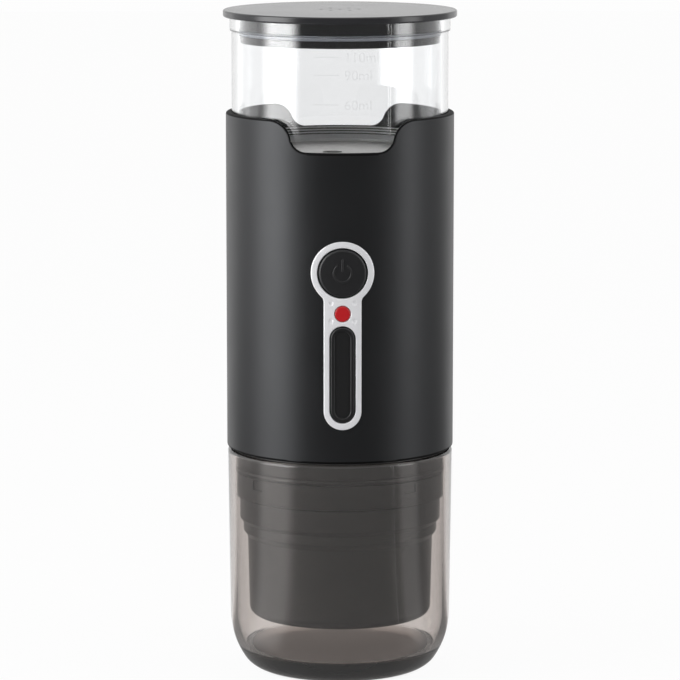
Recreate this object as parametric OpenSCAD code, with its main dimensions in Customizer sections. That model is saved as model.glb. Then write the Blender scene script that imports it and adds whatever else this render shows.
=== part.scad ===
// Portable electric espresso maker: lidded clear water tank on top, battery pump body, brew group below it,
// and a smoked cup that the whole machine plugs into. +Z is up, the control panel faces -Y, and the origin
// is the middle of the cup's underside. All sizes are millimetres.

/* [Body] */
// Outside diameter of the body shell
body_d = 73; // [72:0.5:78]
// Height of the body shell
body_h = 108.1; // [106:0.1:124]
// Wall of the body shell
shell_wall = 1.8; // [1.5:0.1:2]
// Depth of the window dip in the front rim
dip_front = 9.8; // [8:0.1:11]
// Depth of the window dip in the back rim
dip_back = 7.9; // [7:0.1:10]
// Width of the flat bottom of a dip
dip_flat = 22.4; // [16:0.1:26]
// Radius of a dip's lower corners
dip_corner = 5; // [4:0.1:6]
// Radius of a dip's shoulders
dip_shoulder = 7; // [6:0.1:8]

/* [Cup] */
// Height of the cup
cup_h = 72.3; // [70:0.1:90]
// How far the cup's rim stands inside the body's outline
cup_inset = 0.25; // [0.1:0.05:0.4]
// How much the cup's radius shrinks from the rim to the curved foot
cup_draft = 0.65; // [0.2:0.05:0.7]
// Wall of the cup
cup_wall = 2.2; // [1.8:0.1:2.2]
// Thickness of the cup's floor
cup_floor = 7.5; // [4:0.1:9]
// Height at which the wall starts to curve in
cup_curve_h = 18; // [16:0.1:22]
// Radius of the long curve above the foot
cup_side_r = 26; // [24:0.5:30]
// Radius of the foot's edge
cup_foot_r = 8; // [6:0.1:9]

/* [Tank and lid] */
// Height of the tank above the shell's rim
tank_rise = 30.3; // [26:0.1:50]
// Depth of the tank's floor below the shell's rim
floor_drop = 12.7; // [12:0.1:16]
// Wall of the tank
tank_wall = 2.2; // [1.8:0.1:2.6]
// Height of the tank's thicker lip
lip_h = 4.4; // [3:0.1:6]
// How far the lip stands out from the tank's wall
lip_step = 0.6; // [0.3:0.1:0.8]
// How far the lid overhangs the body's outline
lid_overhang = 0.8; // [0.6:0.1:1.5]
// Thickness of the lid's disc
lid_t = 2.2; // [1.8:0.1:3]
// Depth of the lid's plug
plug_h = 7.9; // [7:0.1:12]
// Wall of the lid's plug
plug_wall = 2; // [1.8:0.1:3]
// Height of the lid's seal
seal_h = 1.7; // [1.2:0.1:2.2]
// Depth of the seal's lower edge below the tank's top
seal_drop = 5.6; // [4:0.1:6]
// Diameter of a vent hole in the lid
vent_d = 1.2; // [0.8:0.1:2]
// Radius of the ring of vent holes
vent_ring_r = 6; // [4:0.5:10]
// Diameter of the drain hole in the tank's floor
drain_d = 6.4; // [5:0.1:8]

/* [Control panel] */
// Distance from the shell's rim down to the middle of the button
button_drop = 47.3; // [44:0.1:52]
// Outside diameter of the bezel's ring
ring_d = 19.9; // [18.5:0.1:22]
// Diameter of the bezel's button hole
button_hole_d = 15.9; // [14:0.1:16.5]
// Button travel
button_travel = 0.8; // [0.4:0.1:1]
// Width of the bezel's stem
stem_w = 11.87; // [11:0.1:13]
// Distance from the button's middle to the stem's lower end
stem_reach = 49.7; // [48:0.1:52]
// Radius of the fillet where the stem meets the ring
neck_fillet = 2.5; // [1.5:0.1:4]
// Distance from the button's middle to the lamp
lamp_reach = 12.8; // [12.8:0.1:14]
// Diameter of the lamp's lens
lamp_d = 5.2; // [4:0.1:5.4]
// Width of the port opening in the bezel
port_w = 8.24; // [7.6:0.1:9]
// Height of the port opening in the bezel
port_len = 30.9; // [28:0.1:31]
// Width of the frame below the port opening
port_frame = 2.1; // [1.5:0.1:2.4]
// Thickness of the bezel
bezel_t = 1.3; // [1:0.1:1.4]
// How far the bezel stands out from the shell
bezel_proud = 0.5; // [0.3:0.1:0.6]

/* [Brew group] */
// Diameter of the collar that plugs into the cup
collar_d = 67.1; // [66:0.1:67.1]
// Length of the collar below the body
collar_len = 15.3; // [15:0.1:20]
// Diameter of the holder's grip ring
grip_d = 65; // [63.5:0.1:66]
// Height of the holder's grip ring
grip_h = 7.1; // [6:0.1:9]
// Diameter of the holder's shoulder
shoulder_d = 62.8; // [61:0.1:63]
// Height of the holder's shoulder
shoulder_h = 4.3; // [4:0.1:7]
// Diameter of the holder's bowl at its top
bowl_d = 60; // [58:0.1:60.5]
// Height of the holder's bowl
bowl_h = 28; // [22:0.1:29]
// Radius of the bowl's lower edge
bowl_edge = 3; // [1.5:0.1:4]
// Wall of the holder at its neck
neck_wall = 2.3; // [2:0.1:2.5]
// Twist that frees the holder, degrees
holder_twist = 40; // [36:1:44]

/* [Pump and motor] */
// Teeth on each pump gear
gear_teeth = 12; // [12:1:13]
// Module of the pump gears
gear_module = 1; // [0.9:0.05:1]
// Width of the pump gears
gear_w = 8; // [7:0.1:9]
// Diameter of the pump shafts
shaft_d = 3; // [2.5:0.1:3.2]
// Diameter of the motor
motor_d = 24.4; // [20:0.1:24.4]
// Length of the motor
motor_len = 30.5; // [24:0.1:34]
// Outside diameter of the water tubes
tube_d = 6; // [5:0.1:6]
// Wall of the water tubes
tube_wall = 1; // [0.8:0.1:1.2]

/* [Battery and board] */
// Diameter of a battery cell
cell_d = 18.4; // [18:0.1:18.6]
// Length of a battery cell
cell_len = 65; // [60:0.1:66]
// Radius of the circle that the cells stand on
cell_ring_r = 24.5; // [23.8:0.1:24.6]
// Width of the circuit board
board_w = 34; // [30:0.5:34]
// Thickness of the circuit board
board_t = 1.6; // [1.2:0.1:1.8]

/* [Hidden] */
$fn = 96;

// Clearances: fixed parts, moving parts and running fits
fit = 0.1;
move_gap = 0.3;
run_gap = 0.05;

// Overlap of joined solids, overlap of circles that touch, and overcut of holes
eps = 0.01;
lap = 0.004;
over = 1;

// Levels, from the table up
seam = 0.5;
z_shell = cup_h + seam;
z_rim = z_shell + body_h;
z_floor = z_rim - floor_drop;
z_tank = z_rim + tank_rise;
z_collar = z_shell - collar_len;
z_grip = z_collar - seam - grip_h;
z_grip_top = z_grip + grip_h;
z_shoulder = z_grip - shoulder_h;
z_bowl = z_shoulder - bowl_h;

// Radii shared by the body, the cup and the tank
r_body = body_d / 2;
r_bore = r_body - shell_wall;
r_rim = r_body - cup_inset;
r_side = r_rim - cup_draft;
r_tank = r_bore - fit;
r_tank_in = r_tank - tank_wall;
function cup_in(z) = r_side - cup_wall + cup_draft * (z - cup_curve_h) / (cup_h - cup_curve_h);

// Lid: plug, its seal groove and the disc's round edge
r_lid = r_body + lid_overhang;
lid_edge = 0.45 * lid_t;
plug_gap = 0.5;
r_plug = r_tank_in - plug_gap;
seal_groove = 0.95;
z_seal = z_tank - seal_drop;
vents = 6;

// Screws: shank, flat head, and the space left past a tip
screw_r = 1.25;
head_r = 2.3;
head_h = 1.4;
tip_gap = 0.2;

// Brew head: collar, deck, boss and bayonet
r_collar = collar_d / 2;
skirt_wall = 4;
r_skirt_in = r_collar - skirt_wall;
seam_inset = 0.9;
deck_t = 4;
deck_drop = 2.8;
z_deck = z_shell - deck_drop;
z_deck_under = z_deck - deck_t;
spigot_h = 6.2;
z_spigot = z_shell + spigot_h;
neck_gap = 0.5;
r_neck = r_skirt_in - neck_gap;
r_holder_in = r_neck - neck_wall;
boss_gap = 1;
r_boss = r_holder_in - boss_gap;
lugs = 3;
lug_arc = 24;
lug_spare = 5;
lug_h = 2.2;
lug_gap = 0.4;
groove_depth = 2;
groove_rise = 4.2;
r_groove = r_skirt_in + groove_depth;
r_lug = r_groove - lug_gap;
z_groove = z_collar + groove_rise;
groove_h = lug_h + 2 * move_gap;
z_lug = z_groove + move_gap;

// O-ring that grips the cup, in a groove above the bayonet
cup_ring_d = 1.8;
ring_land = 0.8;
z_cup_ring = z_groove + groove_h + ring_land;
r_cup_ring = cup_in(z_cup_ring) - run_gap;

// Shallow latch pockets on the outside of the collar
pockets = 4;
pocket_first = -141;
pocket_w = 4.6;
pocket_h = 2.8;
pocket_depth = 0.5;

// Water way through the brew head, behind its middle
spout_y = 9;
tube_r = tube_d / 2;
tube_in = tube_r - tube_wall;
valve_bore = tube_r + fit;
valve_h = 7;
valve_drop = 8;
z_valve = z_deck_under - valve_drop;
spout_bore = 2;

// Basket, gasket and screen, stacked from the holder's seat up to the boss
holder_floor = 2.5;
seat_rise = 2.1;
z_seat = z_shoulder + seat_rise;
flange_gap = 0.4;
r_flange = r_holder_in - flange_gap;
seat_ledge = 1.2;
r_seat_in = r_holder_in - seat_ledge;
basket_gap = 0.5;
r_basket = r_seat_in - basket_gap;
basket_wall = 0.6;
basket_lift = 8.2;
flange_t = 0.8;
gasket_h = 3.1;
gasket_w = 2.2;
z_boss = z_seat + flange_t + fit + gasket_h;
screen_t = 0.6;
screen_drop = 2;
z_screen = z_boss - screen_drop;
screen_screw_len = 8.5;
strain_r = 0.6;
spout_r = 6;
spout_rim = 1.5;
spout_rim_t = 1;

// Decks of the machine's frame
deck_r = r_bore - fit;
lower_t = 3;
z_lower = z_spigot + lower_t;
frame_t = 3;
foot_drop = 4.3;
z_tank_foot = z_floor - foot_drop;
ledge_h = 4.9;
ledge_w = 3.9;
r_ledge = r_tank_in - ledge_w;
z_frame_top = z_tank_foot - ledge_h;
z_frame = z_frame_top - frame_t;
post_r = 2.5;
post_pin_r = 1.5;
post_pin = 2;
post_spots = [[-23.5, -8], [23.5, -8], [9, 6]];
frame_screw_len = 10;
deck_screw_r = (r_skirt_in + deck_r) / 2;
deck_screw_end = 1;

// Drain in the tank's floor
drain_spot = [-2.5, -3];

// Gear pump, with both gears on one line across the body
pump_y = -8;
gear_gap = gear_teeth * gear_module;
drive_x = -gear_gap / 2;
addendum = 0.7 * gear_module;
dedendum = gear_module;
backlash = 0.08;
r_tip = gear_gap / 2 + addendum;
r_chamber = r_tip + run_gap;
pump_wall = 3;
pump_half_x = gear_gap / 2 + r_chamber + pump_wall;
pump_half_y = 9;
pump_front = pump_y - pump_half_y;
pump_back = pump_y + pump_half_y;
pump_floor = 4;
cover_t = 3.9;
z_chamber = z_lower + pump_floor;
chamber_h = gear_w + 2 * run_gap;
z_cover = z_chamber + chamber_h;
z_mount = z_cover + cover_t;
mount_t = 2.5;
z_motor = z_mount + mount_t;
z_port = z_chamber + chamber_h / 2;
port_bore = 1.6;
shaft_r = shaft_d / 2;
foot_bearing = 3;
idler_bearing = 2.7;
seal_wall = 2.5;
shaft_seal_h = 2;
pump_screw_side = 2.7;
pump_screw_edge = 2.4;
pump_screw_x = pump_half_x - pump_screw_side;
pump_screw_y = pump_half_y - pump_screw_edge;
pump_screw_end = 0.4;
motor_r = motor_d / 2;
motor_boss_r = 5;
motor_boss_h = 2;
mount_gap = 2;

// Water tubes, with sockets in the pump that end short of its gears
tube_grip = 1.8;
outlet_bend = 5;
inlet_bend = 4.5;
upper_bend = 5;
tube_room = 0.5;
stem_cover = 4.5;
inlet_x = drain_spot.x;
inlet_y = pump_y - sqrt(pow(motor_r + tube_r + tube_room, 2) - pow(inlet_x - drive_x, 2));

// Battery pack
cell_r = cell_d / 2;
cell_front = cell_ring_r - cell_r;
cell_angles = [40, 90, 140];
tab_t = 0.3;
tab_r = 4;
z_cell = z_lower + tab_t;
z_clamp = z_cell + cell_len + tab_t;
clamp_t = 3;
clamp_grip = 4;
clamp_wall = 0.7;
clamp_arm = 8;
clamp_y = cell_front - clamp_arm;

// Circuit board in the rails of the lower deck and the tabs of the upper frame
board_inset = 6.3;
board_y = -(r_bore - board_inset);
board_lift = 2;
z_board = z_lower + board_lift;
board_top_gap = 8;
board_len = z_frame - board_top_gap - z_board;
rail_h = 4;
rail_t = 2;
rail_side = 0.6;
frame_tab_x = 6;
frame_tab_w = 9;
frame_tab_t = 1.6;
frame_tab_grip = 3;

// Control panel, on the shell's front
z_button = z_rim - button_drop;
z_lamp = z_button - lamp_reach;
z_stem = z_button - stem_reach;
r_panel = r_body + bezel_proud;
r_pocket = r_panel - bezel_t;
z_port_low = z_stem + port_frame;
z_port_high = z_port_low + port_len;
button_gap = 0.35;
button_r = button_hole_d / 2 - button_gap;
button_crown = 0.15;
button_bevel = 0.6;
button_flange = 1;
flange_rim = 0.8;
shell_hole_gap = 0.15;
shell_hole_r = button_hole_d / 2 + shell_hole_gap;
flange_inset = 1.7;
flange_y = -(r_bore - flange_inset);
lens_rim = 0.8;
lens_rim_t = 1.5;

// Parts on the circuit board behind the panel
plunger_r = 1.6;
switch_w = 6;
switch_h = 2.4;
switch_back = 0.3;
lamp_r = 1.5;
lamp_h = 2.4;
socket_w = 9;
socket_h = 4.6;
socket_bore = 2.9;
socket_back = 0.8;
socket_pin = 1;
socket_pin_inset = 0.5;
z_socket = (z_port_low + z_port_high) / 2;

// Port cover: a soft plug with a raised border round a flat middle
port_cover_t = 1.8;
cover_border = 1.4;
cover_recess = 0.4;

// Tank floor, heater and drain
floor_t = 0.8;
heater_t = 0.8;
heater_gap = 0.6;
heater_inset = 1.5;
cutout_size = [9, 6, 2.6];
r_gasket = r_tank_in - fit;
floor_gasket_w = 1.4;
r_dish = r_gasket - floor_gasket_w;
gasket_rise = 0.6;
outlet_rim = 2.8;
outlet_r = drain_d / 2 + outlet_rim;
outlet_t = 1.2;
outlet_stem_r = tube_in - run_gap;
outlet_stem_wall = 0.6;
outlet_stem_gap = 0.5;
z_floor_under = z_floor - floor_t;
drain_reach = norm(drain_spot) + outlet_r;
rib_h = 0.4;
rib_pitch = 0.85;
rib_count = 4;
rib_depth = 0.35;
rib_rise = 1.7;

// Ring between two radii and two levels
module ring(r_out, r_in, z0, z1) {
    translate([0, 0, z0]) difference() {
        cylinder(r = r_out, h = z1 - z0);
        translate([0, 0, -eps]) cylinder(r = r_in, h = z1 - z0 + 2 * eps);
    }
}

// Round bar between two levels
module bar(r, z0, z1) {
    translate([0, 0, z0]) cylinder(r = r, h = z1 - z0);
}

// Copies its child to points on a circle
module around(count, r, first = 0) {
    for (i = [0 : count - 1]) rotate([0, 0, first + i * 360 / count]) translate([r, 0, 0]) children();
}

// Stands a drawing in x and z up, and pushes it along +Y from y0 to y1
module push_y(y0, y1) {
    translate([0, y1, 0]) rotate([90, 0, 0]) linear_extrude(height = y1 - y0) children();
}

// Bar along Y at one height
module bar_y(r, z, y0, y1) {
    translate([0, y0, z]) rotate([-90, 0, 0]) cylinder(r = r, h = y1 - y0);
}

// Upright slot outline with round ends, from z0 to z1
module slot_outline(w, z0, z1) {
    translate([-w / 2, z0 + w / 2]) square([w, z1 - z0 - w]);
    translate([0, z0 + w / 2]) circle(d = w);
    translate([0, z1 - w / 2]) circle(d = w);
}

// Quarter bend of a round section: from heading -Z at the origin to heading +X
module bend_out(bend_r, r) {
    translate([bend_r, 0, 0]) rotate([90, 0, 0]) rotate([0, 0, 180])
        rotate_extrude(angle = 90) translate([bend_r, 0]) circle(r = r);
}

// Quarter bend of a round section: from heading +X at the origin to heading -Z
module bend_down(bend_r, r) {
    translate([0, 0, -bend_r]) rotate([90, 0, 0])
        rotate_extrude(angle = 90) translate([bend_r, 0]) circle(r = r);
}

// Flat-headed screw with its head's top at z
module screw(z, len) {
    bar(head_r, z - head_h, z);
    bar(screw_r, z - len, z - head_h);
}

// Involute gear outline
function involute(rb, t) = [rb * (cos(t) + t * PI / 180 * sin(t)), rb * (sin(t) - t * PI / 180 * cos(t))];
function turned(p, a) = [p.x * cos(a) - p.y * sin(a), p.x * sin(a) + p.y * cos(a)];
function roll_to(rb, r) = r <= rb ? 0 : sqrt(r * r / rb / rb - 1) * 180 / PI;
module gear_outline() {
    pressure = 20;
    steps = 6;
    step = 360 / gear_teeth;
    r_pitch = gear_gap / 2;
    r_base = r_pitch * cos(pressure);
    r_root = r_pitch - dedendum;
    roll_pitch = roll_to(r_base, r_pitch);
    half = step / 4 - backlash / r_pitch * 90 / PI + roll_pitch - atan(roll_pitch * PI / 180);
    roll_tip = roll_to(r_base, r_tip);
    flank = [for (i = [0 : steps]) turned(involute(r_base, roll_tip * i / steps), -half)];
    polygon([for (k = [0 : gear_teeth - 1]) each concat(
        [turned([r_root, 0], k * step - half)],
        [for (p = flank) turned(p, k * step)],
        [for (i = [steps : -1 : 0]) turned([flank[i].x, -flank[i].y], k * step)],
        [turned([r_root, 0], k * step + half)]
    )]);
}
module gear() {
    difference() {
        translate([0, 0, z_chamber + run_gap]) linear_extrude(height = gear_w) gear_outline();
        bar(shaft_r, z_chamber, z_cover);
    }
}

// Smoked cup: drafted wall, long lower curve, small foot edge and thick floor
module cup_outline() {
    x_side = r_side - cup_side_r;
    fall = cup_curve_h - cup_foot_r;
    run = sqrt(pow(cup_side_r - cup_foot_r, 2) - fall * fall);
    x_foot = x_side + run;
    reach = cup_side_r / (cup_side_r - cup_foot_r);
    touch = [x_side + run * reach, cup_curve_h - fall * reach];
    polygon([[0, 0], [x_foot, 0], touch, [r_side, cup_curve_h], [r_rim, cup_h], [0, cup_h]]);
    translate([x_foot, cup_foot_r + lap]) circle(r = cup_foot_r + lap);
    intersection() {
        translate([x_side, cup_curve_h]) circle(r = cup_side_r);
        polygon([[x_side, cup_curve_h], touch, [r_body, touch.y], [r_body, cup_curve_h]]);
    }
}
module cup_hollow_outline() {
    z_over = cup_h + over;
    polygon([[0, cup_curve_h], [cup_in(cup_curve_h), cup_curve_h], [cup_in(z_over), z_over], [0, z_over]]);
    intersection() {
        translate([r_side - cup_side_r, cup_curve_h]) circle(r = cup_side_r - cup_wall);
        translate([0, cup_floor]) square([r_body, cup_curve_h - cup_floor]);
    }
}
module cup() {
    color("dimgray", 0.6) difference() {
        rotate_extrude() cup_outline();
        rotate_extrude() cup_hollow_outline();
    }
}

// Copies its child to the screws that hold the lower deck on the brew head's spigot
module deck_screw_spots() {
    around(4, deck_screw_r, 45) children();
}

// Sector of a ring, as wide as a bayonet lug and a spare angle on each side
module bayonet_sector(r, z0, z1, spare) {
    half = lug_arc / 2 + spare;
    intersection() {
        ring(r, r_neck - neck_wall / 2, z0, z1);
        translate([0, 0, z0]) linear_extrude(height = z1 - z0)
            polygon([[0, 0], 2 * r * [cos(half), -sin(half)], 2 * r * [cos(half), sin(half)]]);
    }
}

// Brew head: deck, boss for the screen, skirt with bayonet groove, and the spigot that the shell sits on
module brew_head() {
    color([0.16, 0.16, 0.17]) difference() {
        union() {
            ring(r_collar, r_skirt_in, z_collar, cup_h);
            ring(r_body - seam_inset, r_skirt_in, cup_h, z_shell);
            ring(deck_r, r_skirt_in, z_shell, z_spigot);
            bar(r_skirt_in + eps, z_deck_under, z_deck);
            bar(r_boss, z_boss, z_deck_under);
        }
        ring(r_groove, r_skirt_in - eps, z_groove, z_groove + groove_h);
        for (i = [0 : lugs - 1]) rotate([0, 0, i * 360 / lugs + holder_twist])
            bayonet_sector(r_lug + lug_gap / 2, z_collar - over, z_groove + eps, lug_spare);
        ring(r_collar + over, r_cup_ring - cup_ring_d - fit, z_cup_ring - fit, z_cup_ring + cup_ring_d + fit);
        around(pockets, r_collar - pocket_depth, pocket_first) translate([0, -pocket_w / 2, z_groove])
            cube([over, pocket_w, pocket_h]);
        translate([0, spout_y, 0]) bar(valve_bore, z_valve, z_deck + over);
        translate([0, spout_y, 0]) bar(spout_bore, z_boss - over, z_valve + eps);
        bar(screw_r, z_boss - over, z_boss + screen_screw_len + tip_gap);
        deck_screw_spots() bar(screw_r, z_shell + deck_screw_end, z_spigot + over);
    }
}
module cup_ring() {
    color([0.1, 0.1, 0.1]) rotate_extrude()
        translate([r_cup_ring - cup_ring_d / 2, z_cup_ring + cup_ring_d / 2]) circle(d = cup_ring_d);
}
module check_valve() {
    color("gainsboro") translate([0, spout_y, 0]) difference() {
        bar(valve_bore - run_gap, z_valve, z_valve + valve_h);
        bar(spout_bore / 2, z_valve - over, z_valve + valve_h + over);
    }
}
module brew_gasket() {
    color("firebrick") ring(r_flange, r_flange - gasket_w, z_boss - gasket_h, z_boss);
}
module shower_screen() {
    r_screen = r_flange - gasket_w - flange_gap;
    hub_r = 4;
    rows = 3;
    row_pitch = 5.5;
    first_row = 6.5;
    color("silver") difference() {
        union() {
            bar(r_screen, z_screen, z_screen + screen_t);
            bar(hub_r, z_screen, z_boss);
        }
        bar(screw_r, z_screen - over, z_boss + over);
        for (k = [1 : rows]) around(6 * k, first_row + (k - 1) * row_pitch)
            bar(strain_r, z_screen - over, z_screen + over);
    }
}
module screen_screw() {
    screen_head = 0.9;
    color("silver") {
        bar(head_r, z_screen - screen_head, z_screen);
        bar(screw_r, z_screen, z_boss + screen_screw_len);
    }
}

// Holder that twists into the brew head, with the basket that takes ground coffee
module capsule_holder() {
    bowl_draft = 0.55;
    r_bowl = bowl_d / 2;
    r_low = r_bowl - bowl_draft;
    color([0.2, 0.2, 0.21]) difference() {
        union() {
            rotate_extrude() {
                polygon([[0, z_bowl], [r_low - bowl_edge, z_bowl], [r_low, z_bowl + bowl_edge],
                    [r_bowl, z_shoulder], [0, z_shoulder]]);
                translate([r_low - bowl_edge, z_bowl + bowl_edge]) circle(r = bowl_edge);
            }
            bar(shoulder_d / 2, z_shoulder, z_grip);
            bar(grip_d / 2, z_grip, z_grip_top);
            bar(r_neck, z_grip_top, z_deck_under - neck_gap);
            for (i = [0 : lugs - 1]) rotate([0, 0, i * 360 / lugs])
                bayonet_sector(r_lug, z_lug, z_lug + lug_h, 0);
        }
        bar(r_holder_in, z_seat, z_deck_under);
        bar(r_seat_in, z_bowl + holder_floor, z_seat + eps);
        bar(spout_r, z_bowl - over, z_bowl + holder_floor + over);
    }
}
module coffee_basket() {
    z_base = z_bowl + basket_lift;
    rows = 3;
    row_pitch = 6;
    color("silver") difference() {
        union() {
            bar(r_basket, z_base, z_seat + flange_t);
            bar(r_flange, z_seat, z_seat + flange_t);
        }
        bar(r_basket - basket_wall, z_base + basket_wall, z_seat + flange_t + over);
        for (k = [1 : rows]) around(6 * k, row_pitch * k) bar(strain_r, z_base - over, z_base + over);
    }
}
module outlet_spout() {
    z_inside = z_bowl + holder_floor;
    color([0.12, 0.12, 0.12]) difference() {
        union() {
            bar(spout_r - fit, z_bowl, z_inside);
            bar(spout_r + spout_rim, z_inside, z_inside + spout_rim_t);
        }
        bar(spout_bore, z_bowl - over, z_inside + spout_rim_t + over);
    }
}

// Outline of one rim dip: a flat between two round corners, with round shoulders
module dip_outline(depth) {
    low = z_rim - depth;
    corner = [dip_flat / 2, low + dip_corner];
    centres = dip_corner + dip_shoulder;
    drop = depth - centres;
    shoulder = [corner.x + sqrt(centres * centres - drop * drop), z_rim - dip_shoulder];
    touch = corner + (shoulder - corner) * dip_corner / centres;
    for (side = [0, 1]) mirror([side, 0]) difference() {
        union() {
            polygon([[-eps, low], [corner.x, low], touch, [shoulder.x, z_rim],
                [shoulder.x, z_rim + over], [-eps, z_rim + over]]);
            translate(corner) circle(r = dip_corner);
        }
        translate(shoulder) circle(r = dip_shoulder + lap);
    }
}

// Keyhole outline of the bezel: a ring over a round-ended stem, with filleted neck
module keyhole_outline() {
    ring_r = ring_d / 2;
    x_neck = stem_w / 2 + neck_fillet;
    neck = [x_neck, z_button - sqrt(pow(ring_r + neck_fillet, 2) - x_neck * x_neck)];
    touch = [0, z_button] + (neck - [0, z_button]) * ring_r / (ring_r + neck_fillet);
    translate([0, z_button]) circle(r = ring_r);
    slot_outline(stem_w, z_stem, z_button);
    for (side = [0, 1]) mirror([side, 0]) difference() {
        polygon([[0, neck.y], neck, touch, [0, z_button]]);
        translate(neck) circle(r = neck_fillet + lap);
    }
}
module body_shell() {
    y_mid = -r_bore / 2;
    color([0.11, 0.11, 0.12]) difference() {
        ring(r_body, r_bore, z_shell, z_rim);
        push_y(-r_body - over, 0) dip_outline(dip_front);
        push_y(0, r_body + over) dip_outline(dip_back);
        difference() {
            push_y(-r_body - over, y_mid) keyhole_outline();
            bar(r_pocket, z_shell, z_rim);
        }
        bar_y(shell_hole_r, z_button, -r_body, y_mid);
        bar_y(lamp_d / 2 + fit, z_lamp, -r_body, y_mid);
        push_y(-r_body, y_mid) slot_outline(port_w, z_port_low, z_port_high);
    }
}

// Frame of the machine: decks, posts and their screws
module board_slot(z0, z1) {
    translate([-board_w / 2 - fit, board_y - fit, z0]) cube([board_w + 2 * fit, board_t + 2 * fit, z1 - z0]);
}
module lower_deck() {
    tube_hole = tube_r + move_gap;
    color([0.3, 0.3, 0.32]) difference() {
        union() {
            bar(deck_r, z_spigot, z_lower);
            intersection() {
                translate([-board_w / 2 - rail_side, board_y - rail_t, z_lower - eps])
                    cube([board_w + 2 * rail_side, board_t + 2 * rail_t, rail_h]);
                bar(deck_r, z_spigot, z_lower + rail_h);
            }
        }
        board_slot(z_board, z_lower + rail_h + over);
        translate([0, spout_y, 0]) bar(tube_hole, z_spigot - over, z_lower + over);
        deck_screw_spots() bar(head_r + fit, z_lower - head_h, z_lower + over);
        deck_screw_spots() bar(screw_r, z_spigot - over, z_lower);
        pump_screw_spots() bar(screw_r, z_spigot + pump_screw_end, z_lower + over);
        for (p = post_spots) translate(p) bar(post_pin_r, z_lower - post_pin, z_lower + over);
    }
}
module deck_screws() {
    len = z_lower - z_shell - deck_screw_end - tip_gap;
    color("silver") deck_screw_spots() screw(z_lower, len);
}
module frame_posts() {
    thread = frame_screw_len - frame_t - head_h + tip_gap + over;
    color("goldenrod") for (p = post_spots) translate(p) difference() {
        union() {
            bar(post_r, z_lower, z_frame);
            bar(post_pin_r, z_lower - post_pin, z_lower + eps);
        }
        bar(screw_r, z_frame - thread, z_frame + over);
    }
}
module upper_frame() {
    z_tab = z_board + board_len - frame_tab_grip;
    tube_hole = tube_r + 2 * tube_room;
    color([0.3, 0.3, 0.32]) difference() {
        union() {
            bar(deck_r, z_frame, z_frame_top);
            ring(deck_r, r_ledge, z_frame_top - eps, z_tank_foot);
            intersection() {
                for (side = [0, 1]) mirror([side, 0, 0]) translate([frame_tab_x, board_y - frame_tab_t, z_tab])
                    cube([frame_tab_w, board_t + 2 * frame_tab_t, z_frame - z_tab + eps]);
                bar(deck_r, z_tab, z_frame_top);
            }
        }
        board_slot(z_board, z_board + board_len + fit);
        translate(drain_spot) bar(tube_hole, z_frame - over, z_frame_top + over);
        for (p = post_spots) translate(p) bar(screw_r, z_frame - over, z_frame_top + over);
    }
}
module frame_screws() {
    color("silver") for (p = post_spots) translate(p) screw(z_frame_top + head_h, frame_screw_len);
}

// Gear pump and its motor
module pump_screw_spots() {
    for (x = [-1, 1], y = [-1, 1]) translate([x * pump_screw_x, pump_y + y * pump_screw_y, 0]) children();
}
module pump_block(z0, z1) {
    translate([-pump_half_x, pump_front, z0]) cube([2 * pump_half_x, 2 * pump_half_y, z1 - z0]);
}
module pump_body() {
    socket_r = tube_r + fit;
    color("dimgray") difference() {
        pump_block(z_lower, z_cover);
        for (x = [drive_x, -drive_x]) translate([x, pump_y, 0]) {
            bar(r_chamber, z_chamber, z_cover + over);
            bar(shaft_r + run_gap, z_chamber - foot_bearing, z_chamber + eps);
        }
        translate([inlet_x, 0, 0]) {
            bar_y(port_bore, z_port, pump_front - over, pump_y);
            bar_y(socket_r, z_port, pump_front - over, pump_front + tube_grip);
        }
        bar_y(port_bore, z_port, pump_y, pump_back + over);
        bar_y(socket_r, z_port, pump_back - tube_grip, pump_back + over);
        pump_screw_spots() bar(screw_r, z_lower - over, z_cover + over);
    }
}
module pump_cover() {
    color("gray") difference() {
        pump_block(z_cover, z_mount);
        translate([drive_x, pump_y, 0]) {
            bar(shaft_r + run_gap, z_cover - over, z_mount);
            bar(shaft_r + seal_wall, z_mount - shaft_seal_h, z_mount + over);
        }
        translate([-drive_x, pump_y, 0]) bar(shaft_r + run_gap, z_cover - over, z_cover + idler_bearing);
        pump_screw_spots() bar(screw_r, z_cover - over, z_mount);
        pump_screw_spots() bar(head_r + fit, z_mount - head_h, z_mount + over);
    }
}
module pump_screws() {
    color("silver") pump_screw_spots() screw(z_mount, z_mount - z_spigot - pump_screw_end - tip_gap);
}
module shaft_seal() {
    color("black") translate([drive_x, pump_y, 0])
        ring(shaft_r + seal_wall - fit, shaft_r + run_gap, z_mount - shaft_seal_h, z_mount);
}
module motor_mount() {
    color("gray") translate([drive_x, pump_y, 0]) ring(motor_r, shaft_r + mount_gap, z_mount, z_motor);
}
module motor_can() {
    z_end = z_motor + motor_len;
    color("silver") translate([drive_x, pump_y, 0]) difference() {
        union() {
            bar(motor_r, z_motor, z_end);
            bar(motor_boss_r, z_end, z_end + motor_boss_h);
        }
        bar(shaft_r + run_gap, z_motor - over, z_end + tip_gap);
    }
}
module motor_shaft() {
    color("lightsteelblue") translate([drive_x, pump_y, 0])
        bar(shaft_r, z_chamber - foot_bearing + tip_gap, z_motor + motor_len);
}
module drive_gear() {
    color("white") translate([drive_x, pump_y, 0]) gear();
}
module driven_gear() {
    color("ivory") translate([-drive_x, pump_y, 0]) rotate([0, 0, 180 + 180 / gear_teeth]) gear();
}
module idler_axle() {
    color("lightsteelblue") translate([-drive_x, pump_y, 0])
        bar(shaft_r, z_chamber - foot_bearing + tip_gap, z_cover + idler_bearing - tip_gap);
}

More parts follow.
